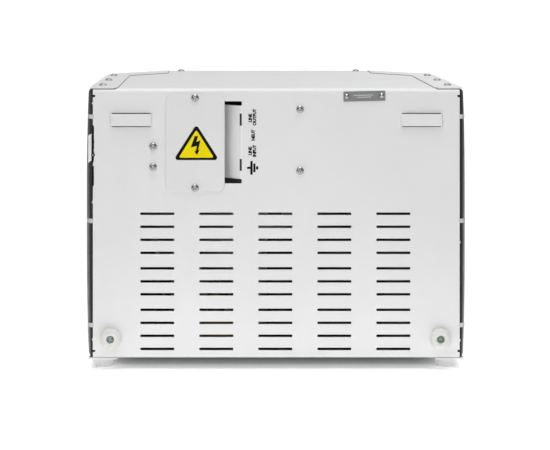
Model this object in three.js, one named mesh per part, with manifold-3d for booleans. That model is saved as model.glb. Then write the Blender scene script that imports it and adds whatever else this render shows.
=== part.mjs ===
// Benchtop steam autoclave, about 13 litres, modelled as an assembly of separate pieces.
// Millimetres, +Z up, front towards -Y, back towards +Y, floor at Z = 0.
// Left (-X) and right (+X) are as seen from the front. A "depth" is measured forwards
// from the outer face of the rear cover, so negative depths lie behind it.
import * as THREE from "three";
import { mergeVertices } from "three/addons/utils/BufferGeometryUtils.js";
import Module from "manifold-3d";

const wasm = await Module();
wasm.setup();

// ---------------------------------------------------------------- driving dimensions
const BACK_Y = 297; // outer face of the rear cover
const HALF_W = 223.8; // half width of the rear cover
const COVER_BOTTOM = 13.6; // lower edge of the rear cover and the bezel
const TOP_Z = 341.8; // top of the casing
const SHEET = 1.2; // sheet metal thickness
const BEND_R = 5.5; // outer bend radius between the back and the top
const SEAM_X = 193.4; // side edge of the top part of the cover
const TONGUE_X = 143.2; // half width of the cover's front tongue
const FRONT_DEPTH = 550; // flat front
const SCREW_HOLE_R = 2.8;
const DOOR_Z = 146; // height of the chamber axis
const CHAMBER_R = 100; // chamber bore radius
const CHAMBER_OUT_R = CHAMBER_R + 2;
const FLANGE_R = 121; // chamber flange and keeper ring outer radius
const KEEPER_IN_R = 113.5;
const DOOR_PLATE_R = 109;
const DOOR_COVER_R = 127;
const BOLT_DEPTH = 539; // plane of the locking bolts
const BOLT_R = 6;
const CHAMFER_TURN = 0.9704; // turn of the angled front corners about Z, in radians

const FOOT_H = 10.9;
const FOOT_X = { right: 210.8, left: -207 };
const FOOT_DEPTHS = { rear: 19, front: 392 };
const BUMPER_X = { right: 202.2, left: -200 };
const BUMPER_Z = 36.8;

// degrees anticlockwise from +X, seen from the front
const BOLT_ANGLES = { upper: 90, lower_left: 210, lower_right: 330 };

const HINGE_X = -140;
const HINGE_DEPTH = 566;
const HINGE_PIN_R = 4;
const HINGE_BORE_R = HINGE_PIN_R + 0.35;
const EAR_X = [-150, -131]; // the bracket ears' two sides
const EAR_Z = [DOOR_Z - 45, DOOR_Z + 45]; // mid heights of the ears
const EAR_HALF_H = 6;

const STRIP_Z = 309; // centre height of the control strip
const GAUGE_X = -100;
const GAUGE_HOLE_R = 22.6;
const BUTTON_HOLE_R = 8.5;
const BUTTON_X = { mode_button: 52, start_button: 80, stop_button: 108 };
const WINDOW = { left: -60, right: 30, halfH: 17 };

const TERMINAL_X = 98.9; // centre of the terminal cover
const TERMINAL_Z = 275.3;
const TERMINAL_SCREWS = [
  // name, x, z, how far the head's seat stands behind the rear cover
  ["terminal_cover_screw_upper", 99.1, 330.2, 2],
  ["terminal_cover_screw_lower", 99.1, 220.6, 2],
];
const REAR_SCREWS = [
  ...TERMINAL_SCREWS,
  ["rear_screw_right_upper", 150.3, 270.9, 0.4],
  ["rear_screw_right_lower", 150.3, 246.0, 0.4],
  ["rear_screw_middle_upper", -29.0, 316.4, 0.4],
  ["rear_screw_middle_lower", -29.0, 241.3, 0.4],
];

const SIDES = [
  [1, "right"],
  [-1, "left"],
];

const yAt = (depth) => BACK_Y - depth;
const radians = (degrees) => (degrees * Math.PI) / 180;

// ---------------------------------------------------------------- materials
const plain = ({ color, roughness }) =>
  new THREE.MeshStandardMaterial({ color, roughness, metalness: 0 });
const metal = ({ color, roughness }) =>
  new THREE.MeshStandardMaterial({ color, roughness, metalness: 1 });
const powderWhite = plain({ color: 0xdededc, roughness: 0.55 });
const bezelWhite = plain({ color: 0xe6e6e3, roughness: 0.45 });
const darkPanel = plain({ color: 0x2c2d30, roughness: 0.25 });
const overlayBlack = plain({ color: 0x17191c, roughness: 0.3 });
const windowGlass = plain({ color: 0x1d2a2e, roughness: 0.1 });
const steel = metal({ color: 0xb9bbbd, roughness: 0.3 });
const brushed = metal({ color: 0xa9abad, roughness: 0.4 });
const zinc = metal({ color: 0x8fa0a0, roughness: 0.35 });
const rubberIvory = plain({ color: 0xdcdcd2, roughness: 0.7 });
const silicone = plain({ color: 0xc9602f, roughness: 0.6 });
const brass = metal({ color: 0xb5924c, roughness: 0.35 });
const black = plain({ color: 0x1b1b1d, roughness: 0.6 });
const tankPlastic = plain({ color: 0xd8dcdc, roughness: 0.5 });
const boardGreen = plain({ color: 0x1e5b34, roughness: 0.5 });
const foam = plain({ color: 0xb9b49f, roughness: 0.95 });
const green = plain({ color: 0x2f9a55, roughness: 0.4 });
const red = plain({ color: 0xb5302a, roughness: 0.4 });
const greyPlastic = plain({ color: 0x8b8f93, roughness: 0.45 });
const plateMetal = metal({ color: 0x8d8e8e, roughness: 0.45 });

// ---------------------------------------------------------------- solid helpers
// closed manifold from a geometry, with its faces turned outwards
function solid(geometry) {
  const flat = geometry.index ? geometry.toNonIndexed() : geometry;
  const position = flat.getAttribute("position");
  const bare = new THREE.BufferGeometry().setAttribute("position", position);
  const merged = mergeVertices(bare, 1e-4);
  const index = merged.index.array;
  const build = (flip) => {
    const triangles = [];
    for (let i = 0; i < index.length; i += 3) {
      const [a, b, c] = index.subarray(i, i + 3);
      if (a === b || b === c || a === c) continue;
      triangles.push(a, ...(flip ? [c, b] : [b, c]));
    }
    const mesh = new wasm.Mesh({
      numProp: 3,
      vertProperties: merged.attributes.position.array,
      triVerts: new Uint32Array(triangles),
    });
    return new wasm.Manifold(mesh);
  };
  const made = build(false);
  return made.volume() < 0 ? build(true) : made;
}

function geometryOf(body) {
  const mesh = body.getMesh();
  const geometry = new THREE.BufferGeometry()
    .setAttribute("position", new THREE.BufferAttribute(mesh.vertProperties, 3))
    .setIndex(new THREE.BufferAttribute(mesh.triVerts, 1));
  geometry.computeVertexNormals();
  return geometry;
}

// box between opposite faces; each pair may be given in either order
function box(x0, x1, y0, y1, z0, z1) {
  const size = [Math.abs(x1 - x0), Math.abs(y1 - y0), Math.abs(z1 - z0)];
  const geometry = new THREE.BoxGeometry(...size);
  return solid(geometry.translate((x0 + x1) / 2, (y0 + y1) / 2, (z0 + z1) / 2));
}
const depthBox = (x0, x1, near, far, z0, z1) => box(x0, x1, yAt(far), yAt(near), z0, z1);

// cylinder from start to end; its centre is (x, y) on axis "z", (y, z) on "x", (x, z) on "y"
function rod(axis, radius, start, end, across, along, segments) {
  const geometry = new THREE.CylinderGeometry(radius, radius, end - start, segments);
  geometry.translate(0, (start + end) / 2, 0);
  if (axis === "z") geometry.rotateX(Math.PI / 2).translate(across, along, 0);
  else if (axis === "x") geometry.rotateZ(-Math.PI / 2).translate(0, across, along);
  else geometry.translate(across, 0, along);
  return solid(geometry);
}
const depthRod = (radius, near, far, x, z, segments) =>
  rod("y", radius, yAt(far), yAt(near), x, z, segments);

function extruded(points, depth) {
  const shape = new THREE.Shape(points.map(([x, y]) => new THREE.Vector2(x, y)));
  return new THREE.ExtrudeGeometry(shape, { depth, bevelEnabled: false });
}

// outline in (x, depth), standing from z0 to z1
function prismZ(points, z0, z1) {
  const outline = points.map(([x, depth]) => [x, yAt(depth)]);
  return solid(extruded(outline, z1 - z0).translate(0, 0, z0));
}

// outline in (x, z), from y0 to y1
const prismY = (points, y0, y1) =>
  solid(extruded(points, y1 - y0).rotateX(Math.PI / 2).translate(0, y1, 0));

// outline in (depth, z), from x0 to x1
function prismX(points, x0, x1) {
  const geometry = extruded(points.map(([depth, z]) => [yAt(depth), z]), x1 - x0);
  // local x -> world y, local y -> world z, local z -> world x
  const axes = new THREE.Matrix4().set(0, 0, 1, x0, 1, 0, 0, 0, 0, 1, 0, 0, 0, 0, 0, 1);
  return solid(geometry.applyMatrix4(axes));
}

// closed profile in (radius, y) turned about the Y axis
function latheY(points, segments) {
  const profile = points.map(([radius, y]) => new THREE.Vector2(radius, y));
  return solid(new THREE.LatheGeometry(profile, segments));
}
const latheDepth = (points, segments) =>
  latheY(points.map(([radius, depth]) => [radius, yAt(depth)]), segments);

const ring = (inR, outR, near, far, segments) =>
  latheDepth([[inR, near], [outR, near], [outR, far], [inR, far], [inR, near]], segments);

function roundedRect(width, height, radius, steps = 4) {
  const x = width / 2 - radius;
  const z = height / 2 - radius;
  const corners = [[x, z, 0], [-x, z, 90], [-x, -z, 180], [x, -z, 270]];
  return corners.flatMap(([centreX, centreZ, start]) =>
    Array.from({ length: steps + 1 }, (_, i) => {
      const angle = radians(start + (90 * i) / steps);
      return [centreX + radius * Math.cos(angle), centreZ + radius * Math.sin(angle)];
    }),
  );
}

const mirrored = (points, sign) => points.map(([x, other]) => [sign * x, other]);
// half an outline followed by its mirror image, walked back
const symmetric = (half) => [...half, ...mirrored(half, -1).reverse()];

const union = (...parts) => parts.reduce((a, b) => a.add(b));
const cut = (body, ...tools) => tools.reduce((a, b) => a.subtract(b), body);
const turned = (body, axis, angle) => solid(geometryOf(body)[`rotate${axis}`](angle));
// turns a body drawn along +X to an angle about the chamber axis
const radial = (body, degrees) => turned(body, "Y", -radians(degrees));

// ---------------------------------------------------------------- scene graph
const autoclave = new THREE.Group();
autoclave.name = "autoclave";

function group(parent, position = [0, 0, 0], turnZ = 0) {
  const made = new THREE.Group();
  made.position.set(...position);
  made.rotation.z = turnZ;
  parent.add(made);
  return made;
}

function piece(parent, name, body, material, position = [0, 0, 0], turnY = 0) {
  const mesh = new THREE.Mesh(geometryOf(body), material);
  mesh.name = name;
  mesh.position.set(...position);
  mesh.rotation.y = turnY;
  parent.add(mesh);
}

const casing = group(autoclave);

// ---------------------------------------------------------------- side panel bow
const PANEL_LOW = 13.7;
const PANEL_HIGH = 340.1;
const PANEL_X = 224.3; // outer face at the rear edge, before the bow
const PANEL_BOW = 9;
const PANEL_LENGTH = 402.5; // depth of the front edge
const EDGE_ROUND = 4; // height of the rounding at the top and bottom edges

// share of the full bow at a height
function bowShare(z) {
  const fromMiddle = (z - 177.7) / 164;
  const fromEdge = Math.max(0, Math.min(EDGE_ROUND, z - PANEL_LOW, PANEL_HIGH - z));
  const edge = Math.sqrt(1 - ((EDGE_ROUND - fromEdge) / EDGE_ROUND) ** 2);
  return (1 - 0.3 * Math.abs(fromMiddle) ** 3) * (0.45 + 0.55 * edge);
}

// ---------------------------------------------------------------- rear and top cover
const SLOT_COLUMNS = [2, 1, 0, -1, -2].map((i) => 1 + 72 * i);
const SLOT_DROP = 139.25; // the slots lie this far below the listed row heights
const SLOT_ROWS = [328, 312.1, 296.2, 280.3, 261.4, 245.5, 229.7, 210.8, 194.9, 179.1, 163.1].map(
  (z) => z - SLOT_DROP,
);
const SLOT_W = 40.8;
const SLOT_H = 2.9;
const HOOK_Z = [307.9, 180.3, 52.9];
const BRIDGE_X = 177;

// quarter circle in (depth, z) about the centre of the bend
const bendArc = (radius) =>
  Array.from({ length: 5 }, (_, i) => {
    const angle = (Math.PI / 2) * (i / 4);
    return [BEND_R - radius * Math.cos(angle), TOP_Z - BEND_R + radius * Math.sin(angle)];
  });

// waste outside the top's outline at one corner, (x, depth)
const TOP_CORNER = [
  [SEAM_X, BEND_R + 0.1], [SEAM_X, 371], [TONGUE_X, 452], [TONGUE_X, 544], [139.9, 546.8],
  [135.2, 549.8], [130, 551.5], [130, 570], [260, 570], [260, BEND_R + 0.1],
];

// hook that holds the side panel's rear edge; it follows the panel's bow
function panelHook(sign, z) {
  const share = bowShare(z);
  const at = (bow, offset) => PANEL_X + PANEL_BOW * bow * share + offset;
  const outline = [
    [222.9, -0.4],
    [at(0.271, 0.9), -0.4], [at(0.436, 1.35), 3.1], [at(0.6, 1.35), 7.3],
    [at(0.76, 1.3), 13.3], [at(0.76, 0.4), 13.8],
    [at(0.6, 0.45), 7.9], [at(0.436, 0.45), 3.8], [at(0.271, 0.1), 0.8],
    [222.9, 0.8],
  ];
  return prismZ(mirrored(outline, sign), z - 2.5, z + 2.5);
}

// lanced bridge that keeps the casing off the wall
function wallBridge(centreX) {
  const outline = [
    ...symmetric([[-26.6, 0], [-24.2, -3.9]]),
    ...symmetric([[26.6, SHEET], [25.7, SHEET], [23.4, -2.7]]),
  ];
  return prismZ(outline.map(([x, depth]) => [centreX + x, depth]), 295.8, 310.7);
}

// flap bent inwards from the terminal opening's low-X edge, (x, depth)
const TERMINAL_FLAP = [
  [41.6, 0], [43.4, 0], [61.5, 23], [68, 28], [113, 28],
  [113, 29.2], [67.6, 29.2], [60.7, 23.9], [42.8, SHEET], [41.6, SHEET],
];

// one bent sheet: the back, the bend and the top
function rearTopCover() {
  const profile = [
    [0, COVER_BOTTOM],
    ...bendArc(BEND_R),
    [FRONT_DEPTH + 1, TOP_Z],
    [FRONT_DEPTH + 1, TOP_Z - SHEET],
    ...bendArc(BEND_R - SHEET).reverse(),
    [SHEET, COVER_BOTTOM],
  ];
  let cover = prismX(profile, -HALF_W, HALF_W);
  for (const [sign] of SIDES) {
    cover = cut(
      cover,
      prismZ(mirrored(TOP_CORNER, sign), TOP_Z - 3, TOP_Z + 3),
      depthBox(sign * SEAM_X, sign * 260, 1.5, 8, TOP_Z - 1.5, TOP_Z + 3),
    );
    // return flange along the side edge, with relief notches at its ends
    const flangeX = sign * (HALF_W - SHEET);
    cover = cover.add(depthBox(flangeX, sign * HALF_W, 0.4, 12, COVER_BOTTOM, TOP_Z - 5));
    for (const z of [21.3, 332.4])
      cover = cut(cover, depthBox(sign * 220.9, sign * 226, -2, 14, z - 1, z + 1));
    for (const z of HOOK_Z) cover = cover.add(panelHook(sign, z));
    const x = sign * BRIDGE_X;
    cover = cut(cover, depthBox(x - 23, x + 23, -2, 3, 295.6, 311.5));
    cover = cover.add(wallBridge(x));
  }
  // edge notch beside the service clip
  cover = cut(cover, depthBox(222.5, 226, -2, 14, 246, 296));
  const [halfW, halfH] = [SLOT_W / 2, SLOT_H / 2];
  for (const z of SLOT_ROWS)
    for (const x of SLOT_COLUMNS)
      cover = cut(cover, depthBox(x - halfW, x + halfW, -2, 3, z - halfH, z + halfH));
  // terminal opening and its flap, with two slits through the flap's bend
  cover = cut(cover, depthBox(42.1, 118, -2, 3, 225.8, 326.0));
  cover = cover.add(prismZ(TERMINAL_FLAP, 231.0, 320.6));
  for (const [z0, z1] of [[296.1, 311.0], [241.0, 255.6]])
    cover = cut(cover, depthBox(42.3, 44.4, -2, 6, z0, z1));
  const holes = [
    ...REAR_SCREWS.map(([, x, z]) => [x, z]),
    ...Object.values(BUMPER_X).map((x) => [x, BUMPER_Z]),
  ];
  for (const [x, z] of holes) cover = cut(cover, depthRod(SCREW_HOLE_R, -4, 4, x, z, 10));
  for (const x of [-126, 126])
    cover = cut(cover, rod("z", 2.3, TOP_Z - 4, TOP_Z + 4, x, yAt(534), 10));
  return cover;
}
piece(casing, "rear_top_cover", rearTopCover(), powderWhite);

// ---------------------------------------------------------------- side frames and side panels
const STRIP_RISE = 0.9; // the frames' top flanges stand this much above the cover
const FRAME_SEAM_X = SEAM_X + 0.5; // inner edge of both flanges
const FRAME_TONGUE_X = TONGUE_X + 0.5;
// outer edge of the flanges, (x, depth)
const FRAME_EDGE = [
  [227.8, 100], [226.4, 300], [224.6, 400], [224.2, 412], [222.4, 421.8], [218.3, 430.4],
];
const TOP_FLANGE = [
  [FRAME_SEAM_X, 1.9], [228.2, 1.9], ...FRAME_EDGE, [147.8, 537.2],
  [FRAME_TONGUE_X, 543.3], [FRAME_TONGUE_X, 452.2], [FRAME_SEAM_X, 371.2],
];
const BOTTOM_FLANGE = [
  [FRAME_SEAM_X, -0.3], [229, -0.3], ...FRAME_EDGE, [FRAME_SEAM_X, 430.4],
];

function sideFrame(sign) {
  const topZ = TOP_Z + STRIP_RISE;
  return union(
    depthBox(sign * 219.6, sign * 220.8, 4.3, 402, 12.4, TOP_Z + 0.2),
    prismZ(mirrored(TOP_FLANGE, sign), TOP_Z - SHEET + STRIP_RISE, topZ),
    prismZ(mirrored(BOTTOM_FLANGE, sign), 11.2, 13.2),
  );
}

const PANEL_THICKNESS = 2.4;
// stations of the panel's grid
const PANEL_LEVELS = [
  PANEL_LOW, 14.5, 16.2, 18.5, 50, 95, 140, 177.7, 220, 262, 300, 335.3, 337.6, 339.3, PANEL_HIGH,
];
const PANEL_DEPTHS = [
  1.5, 4, 8, 14, 22, 32, 42, 80, 150, 200, 250, 290, 325, 355, 380, PANEL_LENGTH,
];

// bow along the depth: it rises as a quarter ellipse at the rear and fades to the front edge
function bowAt(depth) {
  const riseEnd = 40;
  const fadeStart = 150;
  const rise = depth < riseEnd ? Math.sqrt(1 - ((riseEnd - depth) / riseEnd) ** 2) : 1;
  const faded = (depth - fadeStart) / (PANEL_LENGTH - fadeStart);
  return PANEL_BOW * rise * (depth < fadeStart ? 1 : 1 - faded ** 3);
}

// bowed shell between the flanges: an outer skin (0), an inner skin (1) and the rims
function sidePanel(sign) {
  const vertices = [];
  for (const inset of [0, PANEL_THICKNESS])
    for (const depth of PANEL_DEPTHS)
      for (const z of PANEL_LEVELS) {
        const taper = (0.9 * depth) / PANEL_LENGTH;
        let x = PANEL_X - taper + bowAt(depth) * bowShare(z) - inset;
        if (inset && depth < 20) x = Math.max(x, 224.1);
        vertices.push(sign * x, yAt(depth), z);
      }
  const lastRow = PANEL_DEPTHS.length - 1;
  const top = PANEL_LEVELS.length - 1;
  const at = (skin, i, j) => (skin * (lastRow + 1) + i) * (top + 1) + j;
  const triangles = [];
  const quad = (a, b, c, d) => triangles.push(a, b, c, a, c, d);
  for (let i = 0; i < lastRow; i++)
    for (let j = 0; j < top; j++) {
      quad(at(0, i, j), at(0, i, j + 1), at(0, i + 1, j + 1), at(0, i + 1, j));
      quad(at(1, i, j), at(1, i + 1, j), at(1, i + 1, j + 1), at(1, i, j + 1));
    }
  for (let i = 0; i < lastRow; i++) {
    quad(at(0, i, 0), at(0, i + 1, 0), at(1, i + 1, 0), at(1, i, 0));
    quad(at(0, i, top), at(1, i, top), at(1, i + 1, top), at(0, i + 1, top));
  }
  for (let j = 0; j < top; j++) {
    quad(at(0, 0, j), at(1, 0, j), at(1, 0, j + 1), at(0, 0, j + 1));
    quad(at(0, lastRow, j), at(0, lastRow, j + 1), at(1, lastRow, j + 1), at(1, lastRow, j));
  }
  const shell = new THREE.BufferGeometry()
    .setAttribute("position", new THREE.Float32BufferAttribute(vertices, 3))
    .setIndex(triangles);
  return solid(shell);
}

for (const [sign, side] of SIDES) {
  piece(casing, "side_frame_" + side, sideFrame(sign), powderWhite);
  piece(casing, "side_panel_" + side, sidePanel(sign), darkPanel);
}

// clip on the right side panel's rear edge, (x, z)
const CLIP = [[225.4, 286.8], [229.4, 284], [229.4, 250.6], [225.4, 253.8]];
piece(casing, "side_service_clip", prismY(CLIP, yAt(0.9), yAt(-0.7)), bezelWhite);

// ---------------------------------------------------------------- base pan
const PAN_X = 218.6;
const PAN_REAR = 2.4;

function basePan() {
  const wallX = PAN_X - SHEET;
  let pan = union(
    prismZ(symmetric([[PAN_X, PAN_REAR], [PAN_X, 412], [142, 524]]), 13.9, 15.1),
    depthBox(wallX, PAN_X, PAN_REAR, 400, 14, 30),
    depthBox(-PAN_X, -wallX, PAN_REAR, 400, 14, 30),
    depthBox(-PAN_X, PAN_X, PAN_REAR, PAN_REAR + SHEET, 14, 20),
  );
  for (const x of [-60, 0, 60])
    for (const depth of [250, 266])
      pan = cut(pan, depthBox(x - 20, x + 20, depth, depth + 4, 12, 17));
  return pan;
}
piece(casing, "base_pan", basePan(), zinc);

// ---------------------------------------------------------------- feet and wall bumpers
// (radius, height)
const FOOT_PROFILE = [[0, 0], [9.4, 0], [11.4, 1.4], [13.8, FOOT_H], [0, FOOT_H]];
const foot = latheY(FOOT_PROFILE, 16).rotate([90, 0, 0]);
for (const [end, depth] of Object.entries(FOOT_DEPTHS))
  for (const [side, x] of Object.entries(FOOT_X))
    piece(casing, `foot_${end}_${side}`, foot, rubberIvory, [x, yAt(depth), 0]);

// (radius, distance behind the cover)
const BUMPER_PROFILE = [
  [0, 0.4], [12.3, 0.4], [12.9, 5.4], [11.5, 10], [9.4, 12],
  [4.2, 12], [4.2, 6.5], [0, 6.5], [0, 0.4],
];
const bumper = latheY(BUMPER_PROFILE, 18);
for (const [side, x] of Object.entries(BUMPER_X))
  piece(casing, "rear_bumper_" + side, bumper, rubberIvory, [x, BACK_Y, BUMPER_Z]);

// ---------------------------------------------------------------- terminals, screws, nameplate
let terminalCover = prismY(roundedRect(71.8, 119.4, 9.5), 0.4, 1.6);
for (const [, x, z] of TERMINAL_SCREWS) {
  const hole = rod("y", SCREW_HOLE_R, -2, 4, x - TERMINAL_X, z - TERMINAL_Z, 10);
  terminalCover = cut(terminalCover, hole);
}
const terminalAt = [TERMINAL_X, BACK_Y, TERMINAL_Z];
piece(casing, "terminal_cover", terminalCover, powderWhite, terminalAt);

let terminalBlock = box(-13, 13, 0, 21, -40, 40);
for (const z of [-20, 0, 20])
  terminalBlock = cut(terminalBlock, box(-14, 14, 8, 22, z - 1, z + 1));
for (const z of [-30, -10, 10, 30])
  terminalBlock = cut(terminalBlock, rod("y", 3.2, 10, 24, 0, z, 8));
piece(casing, "terminal_block", terminalBlock, black, [97, yAt(27.6), 276.5]);

// domed head and shank, (radius, distance behind the seat)
const SCREW_PROFILE = [
  [0, 3.1], [2.6, 2.9], [4.1, 2.0], [4.75, 0.7], [4.75, 0], [2.4, 0], [2.4, -9], [0, -9],
];
const screw = latheY(SCREW_PROFILE, 12);
for (const [name, x, z, standoff] of REAR_SCREWS)
  piece(casing, name, screw, steel, [x, yAt(-standoff), z]);

const NAMEPLATE_TILT = 0.021; // radians
const nameplate = prismY(roundedRect(51, 11.8, 0.8, 2), 0.4, 1.1);
piece(casing, "nameplate", nameplate, plateMetal, [-107.4, BACK_Y, 332.2], NAMEPLATE_TILT);

// ---------------------------------------------------------------- front bezel
const BEZEL_HOLE_R = 123.5;
// right half of the outer and inner faces, (x, depth)
const BEZEL_OUTER = [
  [223.4, 404], [223.2, 412], [221.5, 421], [217.5, 429.5], [147, 536.5],
  [143.5, 541.5], [139.5, 545.8], [135, 548.8], [130, FRONT_DEPTH],
];
const BEZEL_INNER = [
  [220.4, 404], [220.2, 411.4], [218.7, 419.6], [215, 427.6], [144.6, 534.7],
  [141.4, 539.3], [137.8, 543.2], [133.8, 545.9], [129.7, FRONT_DEPTH - 3],
];

// frame of one angled corner: its origin lies on the outer face, local -Y points outwards
const cornerFrame = (sign, z) => ({
  origin: [sign * 182, yAt(483.4), z],
  turn: sign * CHAMFER_TURN,
});
const ROCKER_FRAME = cornerFrame(1, 58);
const DRAIN_FRAME = cornerFrame(-1, 52);
const inFrame = (body, { origin, turn }) => turned(body, "Z", turn).translate(origin);

function frontBezel() {
  const outline = [...symmetric(BEZEL_OUTER), ...symmetric(BEZEL_INNER).reverse()];
  const { left, right, halfH } = WINDOW;
  let bezel = cut(
    prismZ(outline, COVER_BOTTOM, 340.2),
    depthRod(BEZEL_HOLE_R, 530, 560, 0, DOOR_Z, 40),
    depthRod(GAUGE_HOLE_R, 530, 560, GAUGE_X, STRIP_Z, 20),
    depthBox(left - 1, right + 1, 540, 560, STRIP_Z - halfH - 1, STRIP_Z + halfH + 1),
  );
  for (const x of Object.values(BUTTON_X))
    bezel = cut(bezel, depthRod(BUTTON_HOLE_R, 530, 560, x, STRIP_Z, 14));
  // slots for the hinge bracket's two ears
  const slotHalfH = EAR_HALF_H + 0.6;
  for (const z of EAR_Z) {
    const [x0, x1] = [EAR_X[0] - 1.6, EAR_X[1] + 0.6];
    bezel = cut(bezel, depthBox(x0, x1, 520, 570, z - slotHalfH, z + slotHalfH));
  }
  return cut(
    bezel,
    inFrame(box(-9.8, 9.8, -8, 12, -13.4, 13.4), ROCKER_FRAME),
    inFrame(rod("y", 9.6, -8, 12, 0, 0, 16), DRAIN_FRAME),
  );
}
piece(casing, "front_bezel", frontBezel(), bezelWhite);

// ---------------------------------------------------------------- control strip
// drawn about the strip's centre on the flat front; -Y points outwards
const controls = group(autoclave, [0, yAt(FRONT_DEPTH), STRIP_Z]);

function controlPanel() {
  const gap = 0.4; // clearance round the window
  const { left, right, halfH } = WINDOW;
  let panel = cut(
    prismY(roundedRect(258, 50, 6), -2.3, -0.3),
    rod("y", GAUGE_HOLE_R, -6, 3, GAUGE_X, 0, 20),
    box(left - gap, right + gap, -6, 3, -halfH - gap, halfH + gap),
  );
  for (const x of Object.values(BUTTON_X))
    panel = cut(panel, rod("y", BUTTON_HOLE_R, -6, 3, x, 0, 14));
  return panel;
}
piece(controls, "control_panel", controlPanel(), overlayBlack);

const pane = box(WINDOW.left, WINDOW.right, -2.6, -1, -WINDOW.halfH, WINDOW.halfH);
piece(controls, "display_window", pane, windowGlass);

const button = latheY([[0, -5], [7.2, -5], [8.1, -4], [8.1, 4], [0, 4]], 14);
const BUTTON_MATERIALS = { mode_button: greyPlastic, start_button: green, stop_button: red };
for (const [name, x] of Object.entries(BUTTON_X))
  piece(controls, name, button, BUTTON_MATERIALS[name], [x, 0, 0]);

// case with a raised rim, a dial face and a hollow for the needle's hub, (radius, y)
const GAUGE_PROFILE = [
  [0, 18], [22.2, 18], [22.2, -6.6], [19.6, -6.6], [19, -1.4],
  [2.6, -1.4], [2.6, 1], [0, 1], [0, 18],
];
piece(controls, "gauge_case", latheY(GAUGE_PROFILE, 24), steel, [GAUGE_X, 0, 0]);

const needle = union(
  rod("y", 2.2, -3.4, 0.4, 0, 0, 10),
  prismY([[-1.1, -4], [1.1, -4], [0.5, 15.5], [-0.5, 15.5]], -3.2, -2.4),
);
piece(controls, "gauge_needle", needle, black, [GAUGE_X, 0, 0], radians(-135));

// board with three blocks behind it and a post behind each button
const controlBoard = union(
  box(-72, 122, 22, 24, -22, 22),
  box(-55, -15, 24, 30, -14, 12),
  box(0, 26, 24, 34, -10, 14),
  box(45, 70, 24, 29, -8, 8),
  ...Object.values(BUTTON_X).map((x) => box(x - 4, x + 4, 6.2, 22.4, -4, 4)),
);
piece(controls, "control_board", controlBoard, boardGreen);

// ---------------------------------------------------------------- rocker and drain valve
const ROCKER_W = 18.6;
// side profile in (distance down, y)
const ROCKER_PROFILE = [
  [-12.4, -4.6], [-10.6, -5], [0, -1.4], [10.6, -0.6], [12.4, -0.2],
  [11, 4], [6, 6.5], [-6, 6.5], [-12, 2],
];
const rockerGroup = group(autoclave, ROCKER_FRAME.origin, ROCKER_FRAME.turn);
const rocker = extruded(ROCKER_PROFILE, ROCKER_W)
  .translate(0, 0, -ROCKER_W / 2)
  // local x -> -z, local y -> y, local z -> x
  .applyMatrix4(new THREE.Matrix4().set(0, 0, 1, 0, 0, 1, 0, 0, -1, 0, 0, 0, 0, 0, 0, 1));
piece(rockerGroup, "power_rocker", solid(rocker), black);

const drainGroup = group(autoclave, DRAIN_FRAME.origin, DRAIN_FRAME.turn);
const drainValve = union(
  rod("y", 9.2, -1.6, 26, 0, 0, 14),
  rod("y", 12.5, -2.4, -0.4, 0, 0, 16), // collar against the bezel
  rod("y", 3.4, -8, 0, 0, 0, 10), // stem into the knob
  rod("x", 5, 8, 26, 18, 0, 10), // side outlet
);
piece(drainGroup, "drain_valve", drainValve, brass);

const GRIP_NOTCH_R = 14.4; // the notches' distance from the knob's axis
let knob = rod("y", 13, -18, -3, 0, 0, 24);
for (let i = 0; i < 6; i++) {
  const angle = (i * Math.PI) / 3;
  const [x, z] = [GRIP_NOTCH_R * Math.cos(angle), GRIP_NOTCH_R * Math.sin(angle)];
  knob = cut(knob, rod("y", 3, -20, 0, x, z, 8));
}
knob = cut(knob, rod("y", 3.8, -9, 0, 0, 0, 10));
piece(drainGroup, "drain_knob", knob, black);

// ---------------------------------------------------------------- pressure vessel
// drawn about the chamber axis
const vessel = group(autoclave, [0, 0, DOOR_Z]);

// domed rear end, wall and front flange, then back along the bore, (radius, depth)
const VESSEL_PROFILE = [
  [0, 118], [40, 120], [75, 127], [95, 138], [CHAMBER_OUT_R, 152],
  [CHAMBER_OUT_R, 509], [FLANGE_R, 509], [FLANGE_R, 520.7],
  [CHAMBER_R, 520.7], [CHAMBER_R, 154], [93, 141], [74, 130.5], [40, 123.5], [0, 121.5],
];
piece(vessel, "chamber_vessel", latheDepth(VESSEL_PROFILE, 32), brushed);

let keeper = ring(KEEPER_IN_R, FLANGE_R, 521, 549, 40);
for (const angle of Object.values(BOLT_ANGLES)) {
  const hole = rod("x", BOLT_R + 0.6, 100, 140, yAt(BOLT_DEPTH), 0, 14);
  keeper = cut(keeper, radial(hole, angle));
}
piece(vessel, "keeper_ring", keeper, steel);

const jacket = ring(CHAMBER_OUT_R + 1, CHAMBER_OUT_R + 19, 156, 500, 24);
piece(vessel, "insulation_jacket", jacket, foam);

const BULKHEAD_LOW = 15.6 - DOOR_Z;
const bulkheadPlate = cut(
  depthBox(-158, 158, 503, 505, BULKHEAD_LOW, 280 - DOOR_Z),
  depthRod(CHAMBER_OUT_R + 0.6, 500, 510, 0, 0, 32),
);
const bulkheadLip = depthBox(-158, 158, 490, 505, BULKHEAD_LOW, BULKHEAD_LOW + 2);
piece(vessel, "front_bulkhead", union(bulkheadPlate, bulkheadLip), brushed);

// two walls, a floor and two pairs of ledges
const rack = union(
  depthBox(-74, -72, 160, 500, -62, 30),
  depthBox(72, 74, 160, 500, -62, 30),
  depthBox(-74, 74, 160, 500, -62, -60.5),
  ...[-31, 9].flatMap((z) =>
    [-1, 1].map((sign) => depthBox(sign * 72.5, sign * 66, 160, 500, z, z + 1.5)),
  ),
);
piece(vessel, "tray_rack", rack, steel);

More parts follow.
